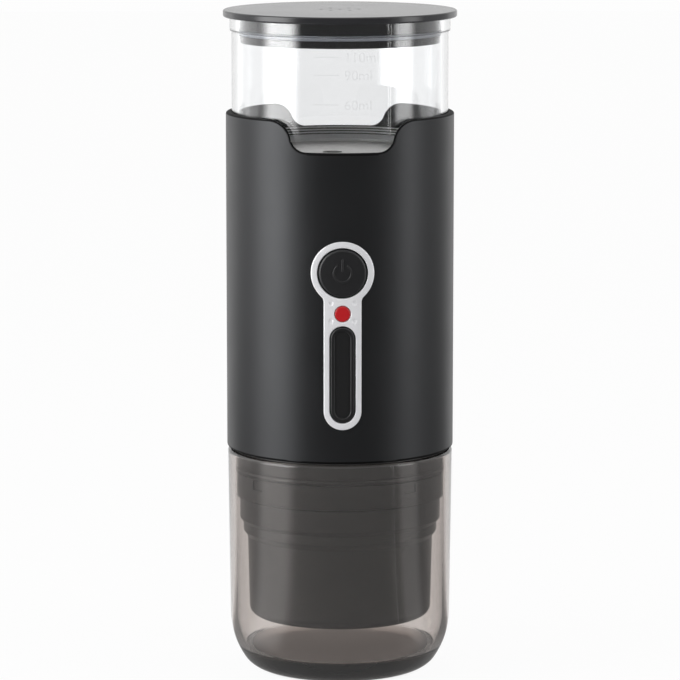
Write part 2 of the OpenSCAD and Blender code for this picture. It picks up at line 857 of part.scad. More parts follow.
// Water tubes: tank to pump in front of the motor, pump to brew head behind the pump
module inlet_run(r, spare) {
    z_level = z_frame - tube_r - tube_room;
    y_drain = drain_spot.y;
    translate([inlet_x, 0, 0]) {
        translate([0, y_drain, 0]) bar(r, z_level + upper_bend, z_frame_top + stem_cover + spare);
        translate([0, y_drain, z_level + upper_bend]) rotate([0, 0, -90]) bend_out(upper_bend, r);
        bar_y(r, z_level, inlet_y + upper_bend, y_drain - upper_bend);
        translate([0, inlet_y + upper_bend, z_level]) rotate([0, 0, -90]) bend_down(upper_bend, r);
        translate([0, inlet_y, 0]) bar(r, z_port + inlet_bend, z_level - upper_bend);
        translate([0, inlet_y, z_port + inlet_bend]) rotate([0, 0, 90]) bend_out(inlet_bend, r);
        bar_y(r, z_port, inlet_y + inlet_bend, pump_front + tube_grip + spare);
    }
}
module inlet_tube() {
    color("white", 0.7) difference() {
        inlet_run(tube_r, 0);
        inlet_run(tube_in, over);
    }
}
module outlet_run(r, spare) {
    y_end = spout_y - outlet_bend;
    bar_y(r, z_port, pump_back - tube_grip - spare, y_end);
    translate([0, y_end, z_port]) rotate([0, 0, 90]) bend_down(outlet_bend, r);
    translate([0, spout_y, 0]) bar(r, z_valve + valve_h + fit - spare, z_port - outlet_bend);
}
module outlet_tube() {
    color("white", 0.7) difference() {
        outlet_run(tube_r, 0);
        outlet_run(tube_in, over);
    }
}

// Battery pack
module at_cell(i) {
    rotate([0, 0, cell_angles[i]]) translate([cell_ring_r, 0, 0]) children();
}
module battery_cell(i) {
    color("mediumseagreen") at_cell(i) bar(cell_r, z_cell, z_cell + cell_len);
}
module battery_tabs() {
    color("silver") for (i = [0 : 2], z = [z_lower, z_cell + cell_len]) at_cell(i) bar(tab_r, z, z + tab_t);
}
module battery_clamp() {
    color([0.25, 0.25, 0.27]) difference() {
        union() {
            intersection() {
                ring(deck_r, cell_front, z_clamp, z_clamp + clamp_t);
                translate([-r_body, clamp_y, z_clamp]) cube([body_d, r_body, clamp_t]);
            }
            intersection() {
                for (i = [0 : 2]) at_cell(i) bar(cell_r + clamp_wall, z_clamp - clamp_grip, z_clamp + clamp_t);
                bar(deck_r, z_clamp - clamp_grip, z_clamp + clamp_t);
            }
            for (i = [0, 2]) at_cell(i) bar(post_r, z_clamp + clamp_t - eps, z_frame);
        }
        for (i = [0 : 2]) at_cell(i) bar(cell_r + fit, z_clamp - clamp_grip - over, z_clamp);
    }
}

// Circuit board and what is soldered to it
module circuit_board() {
    color("darkgreen") translate([-board_w / 2, board_y, z_board]) cube([board_w, board_t, board_len]);
}
module board_block(w, h, z) {
    translate([-w / 2, board_y - h, z - w / 2]) cube([w, h, w]);
}
module tact_switch() {
    color([0.15, 0.15, 0.15]) difference() {
        board_block(switch_w, switch_h, z_button);
        bar_y(plunger_r + move_gap, z_button, board_y - switch_h - over, board_y - switch_back);
    }
}
module switch_plunger() {
    y_end = board_y - switch_back - button_travel - tip_gap;
    color("ivory") bar_y(plunger_r, z_button, flange_y + button_flange, y_end);
}
module lamp_diode() {
    color("tomato") {
        bar_y(lamp_r, z_lamp, board_y - lamp_h, board_y);
        translate([0, board_y - lamp_h, z_lamp]) sphere(r = lamp_r);
    }
}
module dc_socket() {
    y_front = board_y - socket_h;
    color([0.1, 0.1, 0.1]) {
        difference() {
            board_block(socket_w, socket_h, z_socket);
            bar_y(socket_bore, z_socket, y_front - over, board_y - socket_back);
        }
        bar_y(socket_pin, z_socket, y_front + socket_pin_inset, board_y - socket_back + eps);
    }
}

// Control panel
module panel_bezel() {
    y_out = -r_panel - over;
    color("silver") intersection() {
        difference() {
            push_y(y_out, -r_bore / 2) keyhole_outline();
            bar_y(button_hole_d / 2, z_button, y_out - over, 0);
            bar_y(lamp_d / 2, z_lamp, y_out - over, 0);
            push_y(y_out - over, 0) slot_outline(port_w, z_port_low, z_port_high);
        }
        ring(r_panel, r_pocket, z_stem - over, z_button + ring_d);
    }
}
module lamp_lens() {
    color("red") {
        intersection() {
            bar_y(lamp_d / 2 - fit, z_lamp, -r_panel - over, -r_bore + over);
            bar(r_panel, z_lamp - lamp_d, z_lamp + lamp_d);
        }
        intersection() {
            bar_y(lamp_d / 2 + lens_rim, z_lamp, -r_bore - over, -r_bore + lens_rim_t);
            bar(r_bore - fit, z_lamp - lamp_d, z_lamp + lamp_d);
        }
    }
}
module power_button() {
    y_out = -r_panel - over;
    z0 = z_button - button_r;
    z1 = z_button + button_r;
    color([0.09, 0.09, 0.1]) {
        intersection() {
            bar_y(button_r, z_button, y_out, flange_y);
            bar(r_panel - button_bevel / 2, z0, z1);
        }
        intersection() {
            bar_y(button_r - button_bevel, z_button, y_out, flange_y);
            bar(r_panel + button_crown, z0, z1);
        }
        bar_y(shell_hole_r + flange_rim, z_button, flange_y, flange_y + button_flange);
    }
}
module port_cover() {
    w = port_w - 2 * move_gap;
    z0 = z_port_low + move_gap;
    z1 = z_port_high - move_gap;
    y_out = -r_panel - over;
    color([0.1, 0.1, 0.1]) difference() {
        intersection() {
            push_y(y_out, -r_bore / 2) slot_outline(w, z0, z1);
            ring(r_panel, r_panel - port_cover_t, z0 - over, z1 + over);
        }
        difference() {
            push_y(y_out, -r_bore / 2) slot_outline(w - 2 * cover_border, z0 + cover_border, z1 - cover_border);
            bar(r_panel - cover_recess, z0, z1);
        }
    }
}

// Tank, its steel floor, heater and drain
module tank_outlet() {
    z_flange = z_floor_under - outlet_t;
    color("gray") translate(drain_spot) difference() {
        union() {
            bar(outlet_r, z_flange, z_floor_under);
            bar(outlet_stem_r, z_frame_top + outlet_stem_gap, z_flange + eps);
        }
        bar(outlet_stem_r - outlet_stem_wall, z_frame_top, z_floor);
    }
}
module heater_disc() {
    color("goldenrod")
        ring(r_ledge - heater_inset, drain_reach + heater_gap, z_floor_under - heater_t, z_floor_under);
}
module thermal_cutout() {
    r_mid = (r_ledge - heater_inset + drain_reach + heater_gap) / 2;
    color("white") translate([r_mid - cutout_size.x / 2, 0, z_floor_under - heater_t - cutout_size.z])
        cube(cutout_size);
}
module tank_floor() {
    color("lightgray") difference() {
        union() {
            bar(r_dish, z_floor_under, z_floor);
            ring(r_dish, r_dish - floor_t, z_tank_foot, z_floor_under + eps);
        }
        translate(drain_spot) bar(drain_d / 2, z_floor_under - over, z_floor + over);
    }
}
module floor_gasket() {
    color("gainsboro", 0.7) ring(r_gasket, r_dish + eps, z_tank_foot, z_floor + gasket_rise);
}
module water_tank() {
    color("aliceblue", 0.35) {
        ring(r_tank, r_tank_in, z_tank_foot, z_tank);
        ring(r_tank + lip_step, r_tank - eps, z_tank - lip_h, z_tank);
        for (i = [0 : rib_count - 1]) translate([0, 0, z_floor + rib_rise + i * rib_pitch])
            ring(r_tank_in + eps, r_tank_in - rib_depth, 0, rib_h);
    }
}

// Lid: disc with vents, plug and seal
module lid_plug() {
    color([0.08, 0.08, 0.08]) difference() {
        ring(r_plug, r_plug - plug_wall, z_tank - plug_h, z_tank);
        ring(r_plug + over, r_plug - seal_groove, z_seal, z_seal + seal_h);
    }
}
module lid_seal() {
    color("silver") ring(r_tank_in - run_gap, r_plug - seal_groove, z_seal, z_seal + seal_h);
}
module lid_disc() {
    color([0.25, 0.25, 0.27]) translate([0, 0, z_tank]) difference() {
        rotate_extrude() {
            square([r_lid - lid_edge, lid_t]);
            translate([0, lid_edge]) square([r_lid, lid_t - 2 * lid_edge]);
            for (z = [lid_edge, lid_t - lid_edge]) translate([r_lid - lid_edge, z]) circle(r = lid_edge);
        }
        bar(vent_d / 2, -over, lid_t + over);
        around(vents, vent_ring_r) bar(vent_d / 2, -over, lid_t + over);
    }
}

cup();
brew_head();
cup_ring();
check_valve();
brew_gasket();
shower_screen();
screen_screw();
capsule_holder();
coffee_basket();
outlet_spout();
body_shell();
lower_deck();
deck_screws();
pump_body();
pump_cover();
pump_screws();
shaft_seal();
motor_mount();
motor_can();
motor_shaft();
drive_gear();
driven_gear();
idler_axle();
inlet_tube();
outlet_tube();
battery_cell(0);  // battery_cell_1
battery_cell(1);  // battery_cell_2
battery_cell(2);  // battery_cell_3
battery_tabs();
battery_clamp();
frame_posts();
upper_frame();
frame_screws();
circuit_board();
tact_switch();
switch_plunger();
lamp_diode();
dc_socket();
panel_bezel();
lamp_lens();
power_button();
port_cover();
tank_outlet();
heater_disc();
thermal_cutout();
tank_floor();
floor_gasket();
water_tank();
lid_plug();
lid_seal();
lid_disc();
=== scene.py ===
import math

import bmesh
import bpy
from mathutils import Matrix, Vector


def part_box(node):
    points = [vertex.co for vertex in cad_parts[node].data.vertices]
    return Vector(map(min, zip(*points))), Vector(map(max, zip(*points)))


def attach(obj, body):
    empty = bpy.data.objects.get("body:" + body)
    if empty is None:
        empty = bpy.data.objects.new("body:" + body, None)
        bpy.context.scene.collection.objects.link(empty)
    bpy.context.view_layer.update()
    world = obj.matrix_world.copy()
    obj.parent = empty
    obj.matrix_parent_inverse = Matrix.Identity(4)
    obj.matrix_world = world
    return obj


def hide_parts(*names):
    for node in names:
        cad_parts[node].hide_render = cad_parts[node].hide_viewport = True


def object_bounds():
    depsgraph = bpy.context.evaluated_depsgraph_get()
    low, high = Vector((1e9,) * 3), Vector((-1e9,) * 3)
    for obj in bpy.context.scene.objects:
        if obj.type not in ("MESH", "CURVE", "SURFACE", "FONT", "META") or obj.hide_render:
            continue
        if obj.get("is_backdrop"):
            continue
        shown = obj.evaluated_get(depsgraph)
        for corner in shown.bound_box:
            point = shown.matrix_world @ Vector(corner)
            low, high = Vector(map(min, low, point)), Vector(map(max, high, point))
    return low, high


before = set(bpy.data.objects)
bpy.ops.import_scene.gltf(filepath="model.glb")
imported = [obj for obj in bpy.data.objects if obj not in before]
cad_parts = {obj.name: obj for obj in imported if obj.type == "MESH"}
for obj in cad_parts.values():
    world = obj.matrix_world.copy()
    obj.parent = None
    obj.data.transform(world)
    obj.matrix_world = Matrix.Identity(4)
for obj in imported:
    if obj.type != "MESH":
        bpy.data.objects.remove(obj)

cad_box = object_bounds()


# Cup
# A smoked see-through plastic tumbler, injection moulded in one piece with a thick floor.
# The whole machine plugs into it, so its polished wall shows the holder inside.
MM = 0.001
TURN_STEPS = 192
ARC_STEP = 4
MERGE = 1e-4
HARD_ANGLE = 35


def span(node):
    """Lowest and highest corner of a CAD node, in millimetres."""
    low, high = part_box(node)
    return low / MM, high / MM


def draw(bm, marks):
    """Draws an outline in x and z. A pair is a point, and (x, z, degrees) swings the last point
    round that centre. Returns the first and the last point."""
    tips = []
    for mark in marks:
        if len(mark) == 2:
            tip = bm.verts.new((mark[0], 0, mark[1]))
            if tips:
                bm.edges.new((tips[-1], tip))
        else:
            x, z, degrees = mark
            swung = bmesh.ops.spin(
                bm, geom=[tips[-1]], cent=(x, 0, z), axis=(0, -1, 0), angle=math.radians(degrees),
                steps=max(2, round(abs(degrees) / ARC_STEP)))
            tip = next(part for part in swung["geom_last"] if isinstance(part, bmesh.types.BMVert))
        tips.append(tip)
    return tips[0], tips[-1]


def piece(bm, name):
    """Turns a mesh in millimetres into a smooth-shaded object in metres."""
    bmesh.ops.remove_doubles(bm, verts=bm.verts, dist=MERGE)
    bmesh.ops.recalc_face_normals(bm, faces=bm.faces)
    bmesh.ops.scale(bm, vec=(MM, MM, MM), verts=bm.verts)
    mesh = bpy.data.meshes.new(name)
    bm.to_mesh(mesh)
    bm.free()
    mesh.shade_smooth()
    obj = bpy.data.objects.new(name, mesh)
    bpy.context.scene.collection.objects.link(obj)
    return obj


def lathe(bm, marks, closed):
    """Draws an outline and turns it full circle about the machine's axis."""
    before = len(bm.verts)
    first, last = draw(bm, marks)
    if closed:
        bm.edges.new((last, first))
    bm.verts.ensure_lookup_table()
    drawn = bm.verts[before:]
    edges = [edge for edge in bm.edges if edge.verts[0] in drawn]
    bmesh.ops.spin(
        bm, geom=drawn + edges, cent=(0, 0, 0), axis=(0, 0, 1), angle=math.tau,
        steps=TURN_STEPS, use_merge=True)


def turned(name, marks, closed=True):
    """A turned piece: an outline that is closed, or that starts and ends on the axis or itself."""
    bm = bmesh.new()
    lathe(bm, marks, closed)
    return piece(bm, name)


def polish(obj, edge, segments=3, angle=HARD_ANGLE):
    """Rounds the hard edges of a piece, with flat faces kept flat."""
    bevel = obj.modifiers.new("edges", "BEVEL")
    bevel.width = edge * MM
    bevel.segments = segments
    bevel.limit_method = "ANGLE"
    bevel.angle_limit = math.radians(angle)
    bevel.harden_normals = True
    return obj


def dress(obj, finish, body, slot, *nodes):
    """Gives a piece its finish, hangs it on the body it rides on, and hides the CAD nodes it stands
    for.
    """
    obj.data.materials.clear()
    obj.data.materials.append(finish)
    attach(obj, body)
    if nodes:
        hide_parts(*nodes)


class Shade:
    """A socket in one material's nodes, with Python's operators for its maths."""

    def __init__(self, tree, socket=None):
        self.tree = tree
        self.socket = socket

    def node(self, kind, settings=(), inputs=(), output=0):
        """Adds any node: its settings first, then the values or links of its sockets."""
        made = self.tree.nodes.new("ShaderNode" + kind)
        for key, value in dict(settings).items():
            setattr(made, key, value)
        for key, value in dict(inputs).items():
            if isinstance(value, Shade):
                self.tree.links.new(value.socket, made.inputs[key])
            else:
                made.inputs[key].default_value = value
        return Shade(self.tree, made.outputs[output])

    def maths(self, operation, first, second):
        """Joins two values or sockets by a named operation."""
        return self.node("Math", {"operation": operation}, {0: first, 1: second})

    def __add__(self, other):
        return self.maths("ADD", self, other)

    def __mul__(self, other):
        return self.maths("MULTIPLY", self, other)

    def __rsub__(self, other):
        return self.maths("SUBTRACT", other, self)

    __radd__ = __add__

    def blend(self, first, second):
        """Mixes two colours by this value. The node's sockets share names, so they go by number."""
        return self.node("Mix", {"data_type": "RGBA"}, {0: self, 6: (*first, 1), 7: (*second, 1)}, 2)

    def noise(self, size, detail=2, stretch=(1, 1, 1)):
        """Noise of about this size in millimetres, on Object coordinates."""
        place = self.node("TexCoord", output="Object")
        drawn_out = self.node("Mapping", inputs={"Vector": place, "Scale": stretch})
        return self.node("TexNoise", inputs={
            "Vector": drawn_out, "Scale": 1 / (size * MM), "Detail": detail}, output="Fac")


def blank(name, **constants):
    """A new material: its shader's plain values, and a Shade to build the rest with."""
    made = bpy.data.materials.new(name)
    made.use_nodes = True
    shader = made.node_tree.nodes["Principled BSDF"]
    for key, value in constants.items():
        shader.inputs[key.replace("_", " ")].default_value = value
    return made, Shade(made.node_tree), shader


def feed(shade, shader, **links):
    """Links values that change over the surface to the shader's sockets."""
    for key, value in links.items():
        shade.tree.links.new(value.socket, shader.inputs[key.replace("_", " ")])


WAVE_SIZE = 9
WAVE_DETAIL = 1
WAVE_STRETCH = (1, 1, 0.35)
WAVE_REACH = 0.2 * MM
GLOSS_PATCH = 14


def clear(name, tint, rough, wavy, index, haze=0):
    """Polished see-through plastic, with faint flow waves from the mould."""
    made, shade, shader = blank(
        name, Base_Color=(*tint, 1), Transmission_Weight=1 - haze, IOR=index)
    wave = shade.noise(WAVE_SIZE, WAVE_DETAIL, WAVE_STRETCH)
    bump = shade.node("Bump", inputs={"Strength": wavy, "Distance": WAVE_REACH, "Height": wave})
    feed(shade, shader, Normal=bump, Roughness=shade.noise(GLOSS_PATCH) * (2 * rough))
    return made, shade, shader


CUP_WALL = 2.2
CUP_DRAFT = 0.65
CUP_FLOOR = 7.5
CUP_RIM = 1.2
CUP_EDGE = 0.6
CUP_CURVE_Z = 18
CUP_SIDE_R = 26
CUP_FOOT_R = 8
CUP_TINT = (0.98, 0.97, 0.96)
CUP_SMOKE = (0.6, 0.54, 0.51)
CUP_SMOKE_DENSITY = 260
CUP_GLOSS = 0.02
FROST_R = 29
FROST_H = 0.6
FROST_ROUGH = 0.45

cup_top = span("cup")[1]
cup_r = cup_top.x
cup_side = cup_r - CUP_DRAFT
curve_x = cup_side - CUP_SIDE_R
foot_lean = math.degrees(math.asin((CUP_CURVE_Z - CUP_FOOT_R) / (CUP_SIDE_R - CUP_FOOT_R)))
foot_x = curve_x + (CUP_SIDE_R - CUP_FOOT_R) * math.cos(math.radians(foot_lean))
floor_lean = math.degrees(math.asin((CUP_CURVE_Z - CUP_FLOOR) / (CUP_SIDE_R - CUP_WALL)))
cup = turned("smoked_cup", [
    (0, 0), (foot_x, 0), (foot_x, CUP_FOOT_R, 90 - foot_lean), (curve_x, CUP_CURVE_Z, foot_lean),
    (cup_r, cup_top.z - CUP_RIM), (cup_r - CUP_RIM, cup_top.z - CUP_RIM, 90),
    (cup_r - CUP_WALL, cup_top.z), (cup_side - CUP_WALL, CUP_CURVE_Z),
    (curve_x, CUP_CURVE_Z, -floor_lean), (0, CUP_FLOOR)], closed=False)
smoked, smoke, shader = clear("smoked_plastic", CUP_TINT, CUP_GLOSS, wavy=0.03, index=1.49, haze=0.018)
place = smoke.node("TexCoord", output="Object")
height = smoke.node("SeparateXYZ", inputs={0: place}, output="Z")
flat = smoke.node("Mapping", inputs={"Vector": place, "Scale": (1, 1, 0)})
reach = smoke.node("VectorMath", {"operation": "LENGTH"}, {0: flat}, "Value")
on_floor = smoke.node("Math", {"operation": "COMPARE"}, {
    0: height, 1: CUP_FLOOR * MM, 2: FROST_H * MM})
frost = on_floor * smoke.maths("LESS_THAN", reach, FROST_R * MM)
feed(smoke, shader, Roughness=smoke.noise(GLOSS_PATCH) * (2 * CUP_GLOSS) + frost * FROST_ROUGH)
absorb = smoke.node("VolumeAbsorption", inputs={
    "Color": (*CUP_SMOKE, 1), "Density": CUP_SMOKE_DENSITY})
smoke.tree.links.new(absorb.socket, smoke.tree.nodes["Material Output"].inputs["Volume"])
dress(polish(cup, CUP_EDGE), smoked, "cup", "smoked_plastic", "cup")


# Brew head and its seals
# The dark moulded head that the holder twists into, with a collar that plugs into the cup.
# A rubber O-ring in its groove grips the cup, and four shallow pockets are moulded in the collar.
PATCH_SIZE = 16
PATCH_DETAIL = 3
GRAIN_REACH = 0.1 * MM


def two_tones(colour, spread):
    """A darker and a brighter tone of a colour."""
    return [tuple(min(1, part * share) for part in colour) for share in (1 - spread, 1 + spread)]


def moulded(name, colour, rough, grain=0.35, depth=0.12, mottle=0.12, shine=0.1, **constants):
    """Moulded plastic or rubber: a fine grain from the mould and soft patches of handling shine."""
    made, shade, shader = blank(name, **constants)
    patches = shade.noise(PATCH_SIZE, PATCH_DETAIL)
    bump = shade.node("Bump", inputs={
        "Strength": depth, "Distance": GRAIN_REACH, "Height": shade.noise(grain)})
    feed(shade, shader, Base_Color=patches.blend(*two_tones(colour, mottle)), Normal=bump,
         Roughness=patches * (2 * shine) + (rough - shine))
    return made


def carve(obj, *cutters):
    """Cuts closed shapes out of a piece and takes the cutters away."""
    for cutter in cutters:
        cut = obj.modifiers.new("cut", "BOOLEAN")
        cut.operation = "DIFFERENCE"
        cut.solver = "EXACT"
        cut.object = cutter
    graph = bpy.context.evaluated_depsgraph_get()
    whole = obj.data
    obj.data = bpy.data.meshes.new_from_object(obj.evaluated_get(graph))
    obj.data.name = obj.name
    obj.modifiers.clear()
    bpy.data.meshes.remove(whole)
    for cutter in cutters:
        bpy.data.objects.remove(cutter)
    obj.data.shade_smooth()


HEAD_BOSS_R = 25.75
HEAD_SKIRT_R = 29.55
HEAD_COLLAR_R = 33.55
HEAD_SPIGOT_R = 34.6
HEAD_SEAM = (72.3, 72.8)
HEAD_DECK = (66, 70)
HEAD_EDGE = 0.15
SEAM_SINK = 0.9
BAYONET_R = 31.55
BAYONET = (61.7, 64.5)
RING_GROOVE_R = 32.016
RING_GROOVE = (65.2, 67.2)
COLLAR_Z = 57.5
POCKETS = 4
POCKET_SIZE = (2, 4.6, 2.8)
POCKET_SINK = 0.5
POCKET_FIRST = -141

head_low, head_high = span("brew_head")
seam_r = head_high.x - SEAM_SINK
head = turned("brew_head_dressed", [
    (0, head_low.z), (HEAD_BOSS_R, head_low.z), (HEAD_BOSS_R, HEAD_DECK[0]),
    (HEAD_SKIRT_R, HEAD_DECK[0]), (HEAD_SKIRT_R, BAYONET[1]), (BAYONET_R, BAYONET[1]),
    (BAYONET_R, BAYONET[0]), (HEAD_SKIRT_R, BAYONET[0]),
    (HEAD_SKIRT_R, COLLAR_Z), (HEAD_COLLAR_R, COLLAR_Z), (HEAD_COLLAR_R, RING_GROOVE[0]),
    (RING_GROOVE_R, RING_GROOVE[0]), (RING_GROOVE_R, RING_GROOVE[1]), (HEAD_COLLAR_R, RING_GROOVE[1]),
    (HEAD_COLLAR_R, HEAD_SEAM[0]), (seam_r, HEAD_SEAM[0]), (seam_r, HEAD_SEAM[1]),
    (HEAD_SPIGOT_R, HEAD_SEAM[1]), (HEAD_SPIGOT_R, head_high.z), (HEAD_SKIRT_R, head_high.z),
    (HEAD_SKIRT_R, HEAD_DECK[1]), (0, HEAD_DECK[1])], closed=False)


def pocket(index):
    """The cutter of one pocket in the collar."""
    bm = bmesh.new()
    bmesh.ops.create_cube(bm, size=1)
    bmesh.ops.scale(bm, vec=POCKET_SIZE, verts=bm.verts)
    reach = HEAD_COLLAR_R - POCKET_SINK + POCKET_SIZE[0] / 2
    bmesh.ops.translate(bm, vec=(reach, 0, BAYONET[0] + POCKET_SIZE[2] / 2), verts=bm.verts)
    turn = Matrix.Rotation(math.radians(POCKET_FIRST + 360 / POCKETS * index), 3, "Z")
    bmesh.ops.rotate(bm, cent=(0, 0, 0), matrix=turn, verts=bm.verts)
    return piece(bm, "pocket_cutter")


carve(head, *[pocket(index) for index in range(POCKETS)])
dark_plastic = moulded("dark_plastic", (0.06, 0.059, 0.058), rough=0.34, depth=0.015)
dress(polish(head, HEAD_EDGE, segments=2), dark_plastic, "machine", "dark_plastic", "brew_head")

RING_SECTION = 0.9
ring_low, ring_high = span("cup_ring")
ring_mid = (ring_low.z + ring_high.z) / 2
cup_ring = turned("cup_o_ring", [
    (ring_high.x, ring_mid), (ring_high.x - RING_SECTION, ring_mid, 360)], closed=False)
black_rubber = moulded("black_rubber", (0.014, 0.014, 0.015), rough=0.55, grain=0.25, depth=0.2)
# The O-ring's black rubber is coloured a lighter grey than it is: painted light that hides the shade
# of its groove
ring_painted_lighter = moulded("ring_painted_lighter", (0.055, 0.054, 0.053), rough=0.36, grain=0.25, depth=0.1)
dress(cup_ring, ring_painted_lighter, "machine", "black_rubber", "cup_ring")


# Coffee holder
# A dark moulded bowl under a shoulder and a grip ring, with a neck and three bayonet lugs
# that twist into the head. It holds the steel basket, and a rubber spout in its floor.
BOWL_EDGE = 3
BOWL_R = (29.45, 30)
SHOULDER_R = 31.4
SHOULDER_Z = (45.6, 49.9)
STEP_SLOPES = (2, 1.3)
GRIP_Z = 57
NECK_R = (29.05, 26.75)
SEAT_Z = 47.7
BORE_R = 25.55
HOLDER_FLOOR = 2.5
HOLDER_EDGE = 0.2
HOLDER_ANGLE = 20
SPOUT_HOLE_R = 6
LUGS = 3
LUG_R = (28, 31.15)
LUG_Z = (62, 64.2)
LUG_ARC = 24
LUG_STEPS = 8

holder_low, holder_high = span("capsule_holder")
bowl_flat = BOWL_R[0] - BOWL_EDGE
floor_top = holder_low.z + HOLDER_FLOOR
bm = bmesh.new()
lathe(bm, [
    (SPOUT_HOLE_R, holder_low.z), (bowl_flat, holder_low.z), (bowl_flat, holder_low.z + BOWL_EDGE, 90),
    (BOWL_R[1], SHOULDER_Z[0] - STEP_SLOPES[0]), (SHOULDER_R, SHOULDER_Z[0]),
    (SHOULDER_R, SHOULDER_Z[1] - STEP_SLOPES[1]), (holder_high.x, SHOULDER_Z[1]),
    (holder_high.x, GRIP_Z), (NECK_R[0], GRIP_Z), (NECK_R[0], holder_high.z),
    (NECK_R[1], holder_high.z), (NECK_R[1], SEAT_Z), (BORE_R, SEAT_Z),
    (BORE_R, floor_top), (SPOUT_HOLE_R, floor_top)], closed=True)
for index in range(LUGS):
    block = bmesh.ops.create_grid(bm, x_segments=1, y_segments=1, size=0.5)["verts"]
    bmesh.ops.scale(bm, vec=(LUG_R[1] - LUG_R[0], LUG_Z[1] - LUG_Z[0], 1), verts=block)
    upright = Matrix.Rotation(math.pi / 2, 3, "X")
    bmesh.ops.rotate(bm, cent=(0, 0, 0), matrix=upright, verts=block)
    bmesh.ops.translate(bm, vec=(sum(LUG_R) / 2, 0, sum(LUG_Z) / 2), verts=block)
    start = Matrix.Rotation(math.radians(360 / LUGS * index - LUG_ARC / 2), 3, "Z")
    bmesh.ops.rotate(bm, cent=(0, 0, 0), matrix=start, verts=block)
    faces = list({face for vert in block for face in vert.link_faces})
    bmesh.ops.spin(
        bm, geom=faces, cent=(0, 0, 0), axis=(0, 0, 1), angle=math.radians(LUG_ARC), steps=LUG_STEPS)
holder = polish(piece(bm, "coffee_holder"), HOLDER_EDGE, angle=HOLDER_ANGLE)
dress(holder, dark_plastic, "holder", "dark_plastic", "capsule_holder")

MARK_DETAIL = 3
MARK_DEPTH = 0.06
MARK_STREAK = 0.12
MARK_SHINE = 0.08


def metal(name, colour, rough, grain, stretch=(1, 1, 1)):
    """Bare metal with fine tool or brush marks, along the way that the noise is stretched."""
    made, shade, shader = blank(name, Metallic=1)
    marks = shade.noise(grain, MARK_DETAIL, stretch)
    bump = shade.node("Bump", inputs={
        "Strength": MARK_DEPTH, "Distance": GRAIN_REACH, "Height": marks})
    feed(shade, shader, Base_Color=marks.blend(*two_tones(colour, MARK_STREAK)), Normal=bump,
         Roughness=marks * (2 * MARK_SHINE) + (rough - MARK_SHINE))
    return made


def finish_nodes(finish, *names):
    """Gives CAD nodes that keep their shape a finish."""
    for name in names:
        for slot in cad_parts[name].material_slots:
            slot.material = finish


steel = metal("steel", (0.6, 0.59, 0.57), rough=0.34, grain=0.6, stretch=(1, 0.12, 1))
red_silicone = moulded("red_silicone", (0.4, 0.06, 0.05), rough=0.5, grain=0.3, depth=0.15)
white_silicone = moulded("white_silicone", (0.72, 0.72, 0.71), rough=0.5, grain=0.3, mottle=0.05)
finish_nodes(steel, "coffee_basket", "shower_screen", "screen_screw")
finish_nodes(black_rubber, "outlet_spout")
finish_nodes(red_silicone, "brew_gasket")
finish_nodes(white_silicone, "check_valve")


# Pump, motor and tubes
# A moulded gear pump screwed to the lower deck, with a steel motor on top of it and two white
# gears inside. Soft silicone tubes bring water from the tank and take it to the brew head.
pump_plastic = moulded("pump_plastic", (0.3, 0.3, 0.31), rough=0.5, grain=0.4, depth=0.15)
gear_plastic = moulded(
    "gear_plastic", (0.76, 0.76, 0.72), rough=0.4, grain=0.3, depth=0.08, mottle=0.05)
finish_nodes(pump_plastic, "pump_body", "pump_cover", "motor_mount", "tank_outlet")
finish_nodes(steel, "pump_screws", "deck_screws", "frame_screws")
finish_nodes(steel, "motor_can", "motor_shaft", "idler_axle")
finish_nodes(gear_plastic, "drive_gear", "driven_gear", "thermal_cutout", "switch_plunger")
finish_nodes(black_rubber, "shaft_seal")
finish_nodes(white_silicone, "inlet_tube", "outlet_tube")


# Frame, battery and circuit board
# Two moulded decks on turned brass posts carry everything in the shell. Three wrapped cells
# stand at the back under a clamp, and the green board with its switch, lamp and socket in front.
frame_plastic = moulded("frame_plastic", (0.12, 0.12, 0.13), rough=0.5, grain=0.4, depth=0.15)
brass = metal("brass", (0.7, 0.52, 0.24), rough=0.3, grain=0.3, stretch=(1, 1, 4))
cell_wrap = moulded("cell_wrap", (0.08, 0.36, 0.22), rough=0.3, grain=1.2, depth=0.1, mottle=0.08)
board_green = moulded(
    "board_green", (0.03, 0.17, 0.07), rough=0.35, grain=0.8, depth=0.1, mottle=0.2)
red_lens = moulded(
    "red_lens", (0.42, 0.005, 0.008), rough=0.16, grain=0.5, depth=0.02, mottle=0.1, shine=0.05,
    Coat_Weight=0.5)
finish_nodes(frame_plastic, "lower_deck", "upper_frame", "battery_clamp")
finish_nodes(brass, "frame_posts")
finish_nodes(cell_wrap, "battery_cell_1", "battery_cell_2", "battery_cell_3")
finish_nodes(steel, "battery_tabs")
finish_nodes(board_green, "circuit_board")
finish_nodes(dark_plastic, "tact_switch", "dc_socket")
finish_nodes(red_lens, "lamp_diode")


# Body shell
# A black tube of satin moulded plastic, with a dip in its rim at front and back that shows the
# tank. A shallow keyhole pocket in front takes the bezel, with holes for button, lamp and port.
SHELL_WALL = 1.8
DIP_FRONT = 9.8
DIP_BACK = 7.9
DIP_FLAT = 22.4
DIP_CORNER = 5
DIP_SHOULDER = 7
RIM_EDGE = 0.7
FOOT_EDGE = 0.8
EDGE_CUTS = 5
EDGE_SLACK = 0.02
SIDE_STEPS = 72
FLAT_CUTS = 11
OUTLINE_MERGE = 1e-3

shell_low, shell_high = span("body_shell")
shell_r = shell_high.x
bore_r = shell_r - SHELL_WALL


def bow(verts, r, side=-1):
    """Lays flat points on a cylinder of that radius, on the front (-1) or the back (1)."""
    for vert in verts:
        vert.co.y = side * math.sqrt(r * r - vert.co.x ** 2)


def quarter(edge):
    """Points along a rounded edge, from its wall to its face: how far in, and how far up."""
    turns = [math.pi / 2 * index / EDGE_CUTS for index in range(EDGE_CUTS + 1)]
    return [(edge * (1 - math.cos(turn)), edge * math.sin(turn)) for turn in turns]


